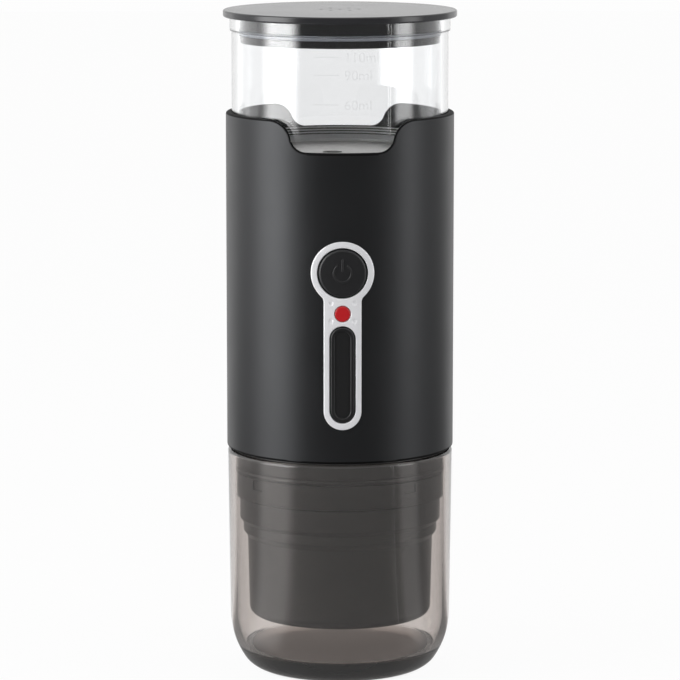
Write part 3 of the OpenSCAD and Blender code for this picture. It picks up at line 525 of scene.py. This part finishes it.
def settle(obj):
    """Keeps hard corners hard and flat faces flat on a piece with its rounded edges built in."""
    obj.data.set_sharp_from_angle(angle=math.radians(HARD_ANGLE))
    normals = obj.modifiers.new("normals", "WEIGHTED_NORMAL")
    normals.keep_sharp = True
    return obj


def edges_at(verts):
    """The edges at some points, each once and in a fixed order."""
    return list(dict.fromkeys(edge for vert in verts for edge in vert.link_edges))


def rim_loop(bm, r, drop):
    """A loop at one radius and a drop below the rim: half of each dip and one side, then mirrored."""
    others = set(bm.verts)
    ends = []
    for depth, side in ((DIP_FRONT, -1), (DIP_BACK, 1)):
        drawn = set(bm.verts)
        low = shell_high.z - depth
        centres = DIP_CORNER + DIP_SHOULDER
        lean = math.acos((centres - depth) / centres)
        corner = (DIP_FLAT / 2, low + DIP_CORNER)
        shoulder = (corner[0] + centres * math.sin(lean), shell_high.z - DIP_SHOULDER)
        lean = math.degrees(lean)
        flat = [(DIP_FLAT / 2 * index / FLAT_CUTS, low - drop) for index in range(FLAT_CUTS + 1)]
        end = draw(bm, [*flat, (*corner, lean), (*shoulder, -lean)])[1]
        bow(set(bm.verts) - drawn, r, side)
        ends.append(end)
    front, back = (math.atan2(end.co.y, end.co.x) for end in ends)
    bmesh.ops.spin(
        bm, geom=[ends[0]], cent=(0, 0, 0), axis=(0, 0, 1), angle=back - front, steps=SIDE_STEPS)
    half = [vert for vert in bm.verts if vert not in others]
    bmesh.ops.mirror(bm, geom=half + edges_at(half), axis="X", merge_dist=OUTLINE_MERGE)
    loop = [vert for vert in bm.verts if vert not in others]
    bmesh.ops.remove_doubles(bm, verts=loop, dist=OUTLINE_MERGE)
    return edges_at(vert for vert in bm.verts if vert not in others)


def foot_loop(bm, r, z):
    """A loop of as many points at the shell's foot."""
    loop = rim_loop(bm, r, 0)
    for vert in {vert for edge in loop for vert in edge.verts}:
        vert.co.z = z
    return loop


bm = bmesh.new()
loops = [foot_loop(bm, bore_r, shell_low.z)]
for inset, rise in reversed(quarter(FOOT_EDGE)):
    loops.append(foot_loop(bm, shell_r - inset, shell_low.z + FOOT_EDGE - rise))
for inset, rise in quarter(RIM_EDGE):
    loops.append(rim_loop(bm, shell_r - inset, RIM_EDGE - rise))
loops.append(rim_loop(bm, bore_r, 0))
for first, second in zip(loops, loops[1:] + loops[:1]):
    bmesh.ops.bridge_loops(bm, edges=first + second)
shell = piece(bm, "shell_wall")

RING_R = 9.95
STEM_W = 11.87
NECK_FILLET = 2.5
BUTTON_HOLE_R = 7.95
BUTTON_GAP = 0.15
LAMP_R = 2.6
LAMP_GAP = 0.1
PORT_W = 8.24
PORT_GAP = 0.3
PANEL_R = 37
POCKET_R = 35.7
POCKET_OVERCUT = 1
HOLE_OVERCUT = 2
SLAB_STEP = 0.8
SLAB_RISE = 1.6

button_low, button_high = span("power_button")
cover_low, cover_high = span("port_cover")
lens_low, lens_high = span("lamp_lens")
z_button = (button_low.z + button_high.z) / 2
z_lamp = (lens_low.z + lens_high.z) / 2
z_stem = span("panel_bezel")[0].z
z_port = (cover_low.z - PORT_GAP, cover_high.z + PORT_GAP)


def round_outline(r, z):
    """A circle about a point of the panel's middle line."""
    return [(r, z), (0, z, 360)]


def slot_outline(w, z0, z1):
    """An upright slot with round ends."""
    r = w / 2
    return [(r, z0 + r), (r, z1 - r), (0, z1 - r, 180), (-r, z0 + r), (0, z0 + r, 180)]


def keyhole_outline():
    """A ring over a round-ended stem, with a fillet on each side of its neck."""
    reach = RING_R + NECK_FILLET
    neck_x = STEM_W / 2 + NECK_FILLET
    neck_z = z_button - math.sqrt(reach ** 2 - neck_x ** 2)
    lean = math.degrees(math.asin(neck_x / reach))
    stem = STEM_W / 2
    foot = z_stem + stem
    return [
        (-stem, foot), (0, foot, 180), (stem, neck_z), (neck_x, neck_z, -(90 - lean)),
        (0, z_button, 360 - 2 * lean), (-neck_x, neck_z, -(90 - lean)), (-stem, foot)]


def slab(name, r_out, r_in, *outlines, steps=()):
    """A curved plate: outlines drawn in x and z, filled, and laid between two radii on the panel.
    Each step shapes the front's border: how far it is set in, and how far it then rises."""
    bm = bmesh.new()
    for outline in outlines:
        draw(bm, outline)
    bmesh.ops.remove_doubles(bm, verts=bm.verts, dist=OUTLINE_MERGE)
    for vert in bm.verts[:]:
        if not vert.link_edges:
            bm.verts.remove(vert)
    edges = bm.edges[:]
    ends = [vert for vert in bm.verts if len(vert.link_edges) == 1]
    if len(ends) == 2:
        edges.append(bm.edges.new(ends))
    bmesh.ops.triangle_fill(bm, use_beauty=True, use_dissolve=False, edges=edges, normal=(0, -1, 0))
    made = bmesh.ops.extrude_face_region(bm, geom=bm.faces[:])["geom"]
    front = [part for part in made if isinstance(part, bmesh.types.BMFace)]
    tips = [part for part in made if isinstance(part, bmesh.types.BMVert)]
    rises = [sum(rise for _, rise in steps[:count]) for count in range(len(steps) + 1)]
    wall = r_out - r_in - max(rises)
    bmesh.ops.translate(bm, vec=(0, -wall, 0), verts=tips)
    bmesh.ops.recalc_face_normals(bm, faces=bm.faces)
    for inset, rise in steps:
        bmesh.ops.inset_region(bm, faces=front, thickness=inset, depth=rise, use_even_offset=True)
    for axis, pitch in ((Vector((1, 0, 0)), SLAB_STEP), (Vector((0, 0, 1)), SLAB_RISE)):
        places = [vert.co @ axis for vert in bm.verts]
        low, length = min(places), max(places) - min(places)
        cuts = math.ceil(length / pitch)
        for index in range(1, cuts):
            bmesh.ops.bisect_plane(
                bm, geom=bm.verts[:] + bm.edges[:] + bm.faces[:], dist=MERGE,
                plane_co=axis * (low + length * index / cuts), plane_no=axis)
    for vert in bm.verts:
        bow([vert], r_in - vert.co.y)
    return piece(bm, name)


hole_reach = (PANEL_R + HOLE_OVERCUT, POCKET_R - HOLE_OVERCUT)
carve(
    shell,
    slab("pocket_cutter", PANEL_R + POCKET_OVERCUT, POCKET_R, keyhole_outline()),
    slab("button_cutter", *hole_reach, round_outline(BUTTON_HOLE_R + BUTTON_GAP, z_button)),
    slab("lamp_cutter", *hole_reach, round_outline(LAMP_R + LAMP_GAP, z_lamp)),
    slab("port_cutter", *hole_reach, slot_outline(PORT_W, *z_port)))
black_satin = moulded(
    "black_satin", (0.005, 0.005, 0.0055), rough=0.4, grain=0.3, depth=0.1, mottle=0.1, shine=0.05,
    Specular_Tint=(0.95, 0.97, 1, 1))
dress(settle(shell), black_satin, "machine", "black_satin", "body_shell")

# Painted shade: the rounded edges at rim and foot get a darker, duller finish than the wall, standing
# for the dark gap line at the tank and the dark seam over the cup
rim_painted_shade = moulded(
    "rim_painted_shade", (0.002, 0.002, 0.0022), rough=0.6, grain=0.3, depth=0.1, mottle=0.1, shine=0.05,
    Specular_IOR_Level=0.1)
shell.data.materials.append(rim_painted_shade)
for face in shell.data.polygons:
    centre = face.center / MM
    on_edge = bore_r + EDGE_SLACK < centre.xy.length < shell_r - EDGE_SLACK
    at_end = centre.z > shell_high.z - DIP_FRONT - RIM_EDGE or centre.z < shell_low.z + FOOT_EDGE
    if on_edge and at_end:
        face.material_index = 1


# Control panel
# A satin silver keyhole bezel pressed into the shell's pocket, round a black push button with a
# raised power sign, a red lamp lens, and a soft rubber plug over the charging socket.
DIMPLES = ((-3.7, 124.2), (3.7, 124.2), (-3.7, 118.6), (3.7, 118.6))
DIMPLE_R = 1.6
DIMPLE_DEPTH = 0.25
DIMPLE_STEPS = (32, 20)
BEZEL_EDGE = 0.35


def rounding(edge):
    """Steps that round a plate's front edge."""
    marks = quarter(edge)
    return [(far[0] - near[0], far[1] - near[1]) for near, far in zip(marks, marks[1:])]


def dimple(x, z):
    """One shallow round dimple's cutter, centred just outside the bezel's face."""
    bm = bmesh.new()
    bmesh.ops.create_uvsphere(
        bm, u_segments=DIMPLE_STEPS[0], v_segments=DIMPLE_STEPS[1], radius=DIMPLE_R)
    out = PANEL_R + DIMPLE_R - DIMPLE_DEPTH
    x_out = x * out / PANEL_R
    bmesh.ops.translate(bm, vec=(x_out, -math.sqrt(out ** 2 - x_out ** 2), z), verts=bm.verts)
    return piece(bm, "dimple_cutter")


bezel = slab(
    "silver_bezel", PANEL_R, POCKET_R, keyhole_outline(), round_outline(BUTTON_HOLE_R, z_button),
    round_outline(LAMP_R, z_lamp), slot_outline(PORT_W, *z_port), steps=rounding(BEZEL_EDGE))
carve(bezel, *[dimple(x, z) for x, z in DIMPLES])
silver_trim = moulded(
    "silver_trim", (0.8, 0.8, 0.82), rough=0.36, grain=0.25, depth=0.1, mottle=0.04, Metallic=0.25)
dress(settle(bezel), silver_trim, "machine", "silver_trim", "panel_bezel")

LENS_R = 2.5
LENS_EDGE = 0.5
LENS_SINK = 1.3
lens = slab(
    "red_lamp_lens", PANEL_R, POCKET_R - LENS_SINK, round_outline(LENS_R, z_lamp),
    steps=rounding(LENS_EDGE))
dress(settle(lens), red_lens, "machine", "red_lens", "lamp_lens")

BUTTON_R = 7.6
BUTTON_FACE_R = 37.15
BUTTON_EDGE = 0.8
button = slab(
    "push_button", BUTTON_FACE_R, -button_high.y, round_outline(BUTTON_R, z_button),
    steps=rounding(BUTTON_EDGE))
button_black = moulded(
    "button_black", (0.008, 0.008, 0.009), rough=0.42, grain=0.25, depth=0.1, mottle=0.1, shine=0.05)
dress(settle(button), button_black, "button", "button_black", "power_button")

SIGN_R = (2.4, 3.1)
SIGN_GAP = 32
SIGN_BAR = (0.7, 0.5, 4.5)
SIGN_RISE = 0.2
SIGN_SINK = 0.1
SIGN_EDGE = 0.18
gap = math.radians(90 + SIGN_GAP)
arc = 360 - 2 * SIGN_GAP
sign_arc = [
    (SIGN_R[1] * math.cos(gap), z_button + SIGN_R[1] * math.sin(gap)), (0, z_button, arc),
    (SIGN_R[0] * -math.cos(gap), z_button + SIGN_R[0] * math.sin(gap)), (0, z_button, -arc)]
sign_bar = slot_outline(SIGN_BAR[0], z_button + SIGN_BAR[1], z_button + SIGN_BAR[2])
# The raised sign is real relief, and its colour is a shade lighter than the button's as a painted
# highlight for the light that relief catches
sign_painted_highlight = moulded(
    "sign_painted_highlight", (0.012, 0.012, 0.013), rough=0.4, grain=0.25, depth=0.1, mottle=0.1, shine=0.05)
for name, outline in (("power_sign_arc", sign_arc), ("power_sign_bar", sign_bar)):
    sign = slab(
        name, BUTTON_FACE_R + SIGN_RISE, BUTTON_FACE_R - SIGN_SINK, outline,
        steps=rounding(SIGN_EDGE))
    dress(settle(sign), sign_painted_highlight, "button", "button_black")

COVER_W = 7.64
COVER_BORDER = 1.4
COVER_EDGE = 0.5
COVER_T = 1.8
over = rounding(COVER_EDGE)
down = [(inset, -rise) for inset, rise in reversed(over)]
cover = slab(
    "port_plug", PANEL_R, PANEL_R - COVER_T, slot_outline(COVER_W, cover_low.z, cover_high.z),
    steps=over + [(COVER_BORDER - 2 * COVER_EDGE, 0)] + down)
plug_rubber = moulded(
    "plug_rubber", (0.007, 0.007, 0.0075), rough=0.36, grain=0.25, depth=0.1, mottle=0.1, shine=0.05)
dress(settle(cover), plug_rubber, "port_flap", "black_rubber", "port_cover")


# Tank floor and heater
# A pressed steel dish closes the tank's foot, held in a pale silicone gasket. Water leaves by a
# hole in it, and a flat heater ring is fixed under it.
DISH_T = 0.8
DISH_EDGE = 0.3
DRAIN = (-2.5, -3)
DRAIN_R = 3.2
DRAIN_STEPS = 64
DRILL_LENGTH = 10


def drill(r, x, y, z, steps):
    """The cutter of a round upright hole."""
    bm = bmesh.new()
    bmesh.ops.create_cone(
        bm, cap_ends=True, segments=steps, radius1=r, radius2=r, depth=DRILL_LENGTH)
    bmesh.ops.translate(bm, vec=(x, y, z), verts=bm.verts)
    return piece(bm, "hole_cutter")


dish_low, dish_high = span("tank_floor")
dish_r = dish_high.x
dish = turned("steel_floor", [
    (0, dish_high.z), (dish_r, dish_high.z), (dish_r, dish_low.z), (dish_r - DISH_T, dish_low.z),
    (dish_r - DISH_T, dish_high.z - DISH_T), (0, dish_high.z - DISH_T)], closed=False)
carve(dish, drill(DRAIN_R, *DRAIN, dish_high.z, DRAIN_STEPS))
dress(polish(dish, DISH_EDGE), steel, "machine", "steel", "tank_floor")

GASKET_W = 1.39
GASKET_EDGE = 0.4
gasket_low, gasket_high = span("floor_gasket")
gasket_r = gasket_high.x
gasket = turned("tank_gasket", [
    (gasket_r, gasket_low.z), (gasket_r, gasket_high.z),
    (gasket_r - GASKET_W, gasket_high.z), (gasket_r - GASKET_W, gasket_low.z)])
dress(polish(gasket, GASKET_EDGE), white_silicone, "machine", "white_silicone", "floor_gasket")
heater_aluminium = metal("heater_aluminium", (0.6, 0.55, 0.45), rough=0.4, grain=0.8)
finish_nodes(heater_aluminium, "heater_disc")


# Water tank
# A clear moulded tube that stands in the shell, with a thicker lip for the lid and fine rib lines
# inside its foot, where the wall is frosted. A faint volume scale is printed on its front.
TANK_R = (34.6, 32.4)
TANK_EDGE = 0.3
TANK_TINT = (0.985, 0.99, 0.995)
LIP_Z = 206.8
RIB_Z = 169.9
RIB_PITCH = 0.85
RIB_H = 0.4
RIB_DEPTH = 0.35
RIBS = 4
RIB_FADE = 0.4
RIB_MERGE = 5e-3

tank_low, tank_high = span("water_tank")
lip_r = tank_high.x - TANK_EDGE
lip_top = tank_high.z - TANK_EDGE
ribs = []
for index in reversed(range(RIBS)):
    z = RIB_Z + index * RIB_PITCH
    ribs += [(TANK_R[1], z + RIB_H), (TANK_R[1] - RIB_DEPTH, z + RIB_H),
             (TANK_R[1] - RIB_DEPTH, z), (TANK_R[1], z)]
bm = bmesh.new()
lathe(bm, [
    (TANK_R[1], tank_low.z), (TANK_R[0], tank_low.z), (TANK_R[0], LIP_Z), (lip_r, LIP_Z),
    (lip_r, LIP_Z + TANK_EDGE, 90), (tank_high.x, lip_top), (lip_r, lip_top, 90),
    (TANK_R[1] + TANK_EDGE, tank_high.z), (TANK_R[1] + TANK_EDGE, lip_top, 90), *ribs], closed=True)
# The ribs fade out on the sides, and only the back half keeps them
for vert in bm.verts:
    r = vert.co.xy.length
    if r < TANK_R[1] - RIB_DEPTH / 2:
        share = min(max(vert.co.y / r / RIB_FADE + 0.5, 0), 1)
        vert.co.xy *= (TANK_R[1] - RIB_DEPTH * share) / r
bmesh.ops.remove_doubles(bm, verts=bm.verts, dist=RIB_MERGE)
tank = piece(bm, "clear_tank")
clear_plastic = clear("clear_plastic", TANK_TINT, rough=0.02, wavy=0.01, index=1.58)[0]
dress(settle(tank), clear_plastic, "machine", "clear_plastic", "water_tank")
frosted_plastic = moulded(
    "frosted_plastic", (0.85, 0.85, 0.86), rough=0.4, grain=0.3, depth=0.1, mottle=0.06,
    Transmission_Weight=0.2)
tank.data.materials.append(frosted_plastic)
for face in tank.data.polygons:
    centre = face.center / MM
    on_rib = centre.xy.length < TANK_R[1] - RIB_DEPTH / 4
    below_ribs = centre.xy.length < TANK_R[1] and centre.z < RIB_Z
    if on_rib or below_ribs:
        face.material_index = 1

SCALE = ((200.9, "110ml"), (195.3, "90ml"), (186.1, "60ml"))
SCALE_LINE = (-8.9, -1.2, 0.3)
SCALE_TEXT = (0.5, 3.2)
CAP_SHARE = 0.72
INK_T = (0.03, 0.05)
ink_r = (TANK_R[0] + INK_T[0], TANK_R[0] - INK_T[1])
scale_ink = moulded(
    "scale_ink", (0.4, 0.4, 0.42), rough=0.5, grain=0.3, depth=0.05, mottle=0.05, Alpha=0.05)
for z, label in SCALE:
    x0, x1, thick = SCALE_LINE
    low, high = z - thick / 2, z + thick / 2
    line = slab("scale_line_" + label, *ink_r, [(x0, low), (x1, low), (x1, high), (x0, high)])
    dress(line, scale_ink, "machine", "clear_plastic")
    letters = bpy.data.curves.new("scale_number_" + label, "FONT")
    letters.body = label
    letters.size = SCALE_TEXT[1] / CAP_SHARE
    shown = bpy.data.objects.new(letters.name, letters)
    bm = bmesh.new()
    bm.from_mesh(shown.to_mesh())
    shown.to_mesh_clear()
    bpy.data.objects.remove(shown)
    upright = Matrix.Rotation(math.pi / 2, 3, "X")
    bmesh.ops.rotate(bm, cent=(0, 0, 0), matrix=upright, verts=bm.verts)
    bmesh.ops.translate(bm, vec=(SCALE_TEXT[0], 0, z - SCALE_TEXT[1] / 2), verts=bm.verts)
    bmesh.ops.remove_doubles(bm, verts=bm.verts, dist=OUTLINE_MERGE)
    made = bmesh.ops.extrude_face_region(bm, geom=bm.faces[:])["geom"]
    front = {part for part in made if isinstance(part, bmesh.types.BMVert)}
    bow(set(bm.verts) - front, ink_r[1])
    bow(front, ink_r[0])
    dress(piece(bm, "scale_number_" + label), scale_ink, "machine", "clear_plastic")


# Lid
# A satin black disc with small vent holes, over a glossy ring that plugs into the tank and
# carries a pale rubber seal in its groove. The lid pulls straight out.
LID_ROUND = 0.55
LID_EDGE = 0.12
VENT_R = 0.6
VENT_RING_R = 6
VENT_STEPS = 24
VENTS = 6

lid_low, lid_high = span("lid_disc")
lid_r = lid_high.x - LID_ROUND
lid = turned("lid_top", [
    (0, lid_low.z), (lid_r, lid_low.z), (lid_r, lid_low.z + LID_ROUND, 90),
    (lid_high.x, lid_high.z - LID_ROUND), (lid_r, lid_high.z - LID_ROUND, 90),
    (0, lid_high.z)], closed=False)
turns = [math.tau * index / VENTS for index in range(VENTS)]
vents = [(0, 0)] + [(VENT_RING_R * math.cos(turn), VENT_RING_R * math.sin(turn)) for turn in turns]
carve(lid, *[drill(VENT_R, x, y, lid_high.z, VENT_STEPS) for x, y in vents])
lid_satin = moulded(
    "lid_satin", (0.018, 0.018, 0.02), rough=0.2, grain=0.25, depth=0.1, mottle=0.05, shine=0.02)
dress(polish(lid, LID_EDGE, segments=2), lid_satin, "lid", "lid_satin", "lid_disc")

PLUG_WALL = 2
PLUG_EDGE = 0.25
SEAL_GROOVE = 0.95
SEAL_EDGE = 0.5
plug_low, plug_high = span("lid_plug")
seal_low, seal_high = span("lid_seal")
plug_r = plug_high.x
groove_r = plug_r - SEAL_GROOVE
plug = turned("lid_plug_ring", [
    (plug_r - PLUG_WALL, plug_low.z), (plug_r, plug_low.z), (plug_r, seal_low.z),
    (groove_r, seal_low.z), (groove_r, seal_high.z), (plug_r, seal_high.z),
    (plug_r, plug_high.z), (plug_r - PLUG_WALL, plug_high.z)])
lid_gloss = moulded(
    "lid_gloss", (0.01, 0.01, 0.011), rough=0.09, grain=6, depth=0.02, mottle=0.1, shine=0.03,
    Coat_Weight=0.4)
dress(polish(plug, PLUG_EDGE), lid_gloss, "lid", "lid_gloss", "lid_plug")

seal = turned("lid_seal_ring", [
    (groove_r, seal_low.z), (seal_high.x, seal_low.z), (seal_high.x, seal_high.z),
    (groove_r, seal_high.z)])
grey_silicone = moulded(
    "grey_silicone", (0.46, 0.48, 0.53), rough=0.45, grain=0.3, depth=0.1, mottle=0.06)
dress(polish(seal, SEAL_EDGE), grey_silicone, "lid", "grey_silicone", "lid_seal")


# Studio
# A white sweep of floor and background, with a tall softbox on each side of the object. The
# background is white to the camera and behind the object, and dark on the camera's side.
CAMERA_AT = Vector((-26.74, -1206.3, 298.3)) * MM
CAMERA_TURN = (math.radians(90 - 9.02), 0, math.radians(-1.27))
CAMERA_LENS = 200.4
CAMERA_SENSOR = 36
CAMERA_FAR = 10
AIM = Vector((0, 0, 110)) * MM
FLOOR_SIZE = 6
FLOOR_WHITE = 0.9
FLOOR_MOTTLE = 0.02
FLOOR_PATCH = 400
FLOOR_ROUGH = 0.9
FLOOR_GLOW = 0.95
# Painted shadow on the floor under the cup, as seen through it: two radii in metres, and the level
# inside them
CUP_PAINTED_SHADOW = (0.022, 0.028, 0.4)
# The same painted shadow for rays that a surface mirrored
MIRRORED_PAINTED_SHADOW = (0.036, 0.06, 0.32)
# The share of the softboxes that the floor shows to mirrored rays: two radii in metres, two shares
NEAR_DIM = (0.3, 1.3, 0.2, 1.1)
# Azimuth from the camera's side in degrees, distance, height, width and length in metres, watts
SOFTBOXES = ((-70, 0.9, 0.16, 0.62, 0.75, 8), (69, 0.9, 0.16, 0.4, 0.75, 3))
# What shiny surfaces mirror: start and end azimuth and softness in degrees, and brightness
BANDS = (
    (-88, -51, 8, 5.5), (-140, -92, 8, 0.8), (61, 82, 4, 3), (52.6, 53.4, 0.4, 5), (85, 140, 8, 0.4))
BAND_FOOT = (-0.7, -0.5)
BAND_TOP = (0.5, 0.7)
FRONT_DARK = 0.13
BACK_EDGE = (0.62, 0.74)
BACK_WHITE = 0.92
TOP_EDGE = (0.3, 0.6)
FILL = 0.55
BACKDROP = 0.985


def step(value, low, high, first=0, last=1):
    """A soft step from one level to another as a value passes between two marks."""
    return value.node("MapRange", {"interpolation_type": "SMOOTHSTEP"}, {
        0: value, 1: low, 2: high, 3: first, 4: last})


def rays(shade):
    """Two masks: light that a surface scattered, and light that a surface mirrored."""
    lit = shade.maths("MINIMUM", shade.node("LightPath", output="Diffuse Depth"), 1)
    mirrored = shade.maths("MINIMUM", shade.node("LightPath", output="Glossy Depth"), 1)
    return lit, mirrored


def surroundings(shade, course):
    """Brightness of the studio's walls and of its softboxes along a direction."""
    across, away, up = (
        shade.node("SeparateXYZ", inputs={0: course}, output=axis) for axis in "XYZ")
    turn = shade.maths("ARCTAN2", across, 0 - away) * math.degrees(1)
    boxes = sum(
        step(turn, start - soft, start + soft) * step(turn, end - soft, end + soft, 1, 0) * level
        for start, end, soft, level in BANDS)
    boxes = boxes * step(up, *BAND_FOOT) * step(up, *BAND_TOP, 1, 0)
    back = step(away, *BACK_EDGE, FRONT_DARK, BACK_WHITE)
    walls = shade.maths("MAXIMUM", back, step(up, *TOP_EDGE))
    return walls, boxes


bm = bmesh.new()
bmesh.ops.create_grid(bm, x_segments=1, y_segments=1, size=FLOOR_SIZE / 2 / MM)
floor = piece(bm, "floor")
floor_paint, shade, shader = blank("floor_paint", Roughness=FLOOR_ROUGH)
patches = shade.noise(FLOOR_PATCH)
feed(shade, shader, Base_Color=patches.blend((FLOOR_WHITE,) * 3, (FLOOR_WHITE - FLOOR_MOTTLE,) * 3))
lit, mirrored = rays(shade)
place = shade.node("TexCoord", output="Object")
course = shade.node("VectorMath", {"operation": "NORMALIZE"}, {0: place})
walls, boxes = surroundings(shade, course)
reach = shade.node("VectorMath", {"operation": "LENGTH"}, {0: place}, "Value")
# Under and near the cup the floor's glow is darkened: painted shadow
beyond = step(reach, *MIRRORED_PAINTED_SHADOW[:2])
mirror = (1 - beyond) * MIRRORED_PAINTED_SHADOW[2] + beyond * (walls + boxes * step(reach, *NEAR_DIM))
white = (1 - mirrored) * step(reach, *CUP_PAINTED_SHADOW, 1) + mirrored * mirror
glow = shade.node("Emission", inputs={"Color": white, "Strength": 1})
mixed = shade.node("MixShader", inputs={
    0: (1 - lit) * FLOOR_GLOW, 1: Shade(shade.tree, shader.outputs[0]), 2: glow})
shade.tree.links.new(mixed.socket, shade.tree.nodes["Material Output"].inputs["Surface"])
floor.data.materials.append(floor_paint)
floor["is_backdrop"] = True

for index, (turn, away, height, width, length, power) in enumerate(SOFTBOXES):
    lamp = bpy.data.lights.new(f"softbox_{index + 1}", "AREA")
    lamp.shape = "RECTANGLE"
    lamp.size = width
    lamp.size_y = length
    lamp.energy = power
    softbox = bpy.data.objects.new(lamp.name, lamp)
    turn = math.radians(turn)
    softbox.location = (away * math.sin(turn), -away * math.cos(turn), height)
    softbox.rotation_euler = (AIM - softbox.location).to_track_quat("-Z", "Y").to_euler()
    softbox.visible_glossy = False
    softbox.visible_transmission = False
    bpy.context.scene.collection.objects.link(softbox)

world = bpy.data.worlds.new("studio")
world.use_nodes = True
world.cycles.sampling_method = "NONE"
bpy.context.scene.world = world
shade = Shade(world.node_tree)
walls, boxes = surroundings(shade, shade.node("TexCoord", output="Generated"))
lit, mirrored = rays(shade)
through = shade.node("LightPath", output="Is Transmission Ray")
seen = (1 - mirrored) * BACKDROP + mirrored * (walls + boxes)
level = lit * (FILL + through * boxes) + (1 - lit) * seen
backdrop = world.node_tree.nodes["Background"]
backdrop.inputs["Color"].default_value = (1, 1, 1, 1)
world.node_tree.links.new(level.socket, backdrop.inputs["Strength"])

camera = bpy.data.cameras.new("camera")
camera.lens = CAMERA_LENS
camera.sensor_width = CAMERA_SENSOR
camera.clip_end = CAMERA_FAR
view = bpy.data.objects.new("camera", camera)
view.location = CAMERA_AT
view.rotation_euler = CAMERA_TURN
bpy.context.scene.collection.objects.link(view)
bpy.context.scene.camera = view
bpy.context.scene.view_settings.view_transform = "Standard"

boxes = {"cad": cad_box, "visual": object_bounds()}
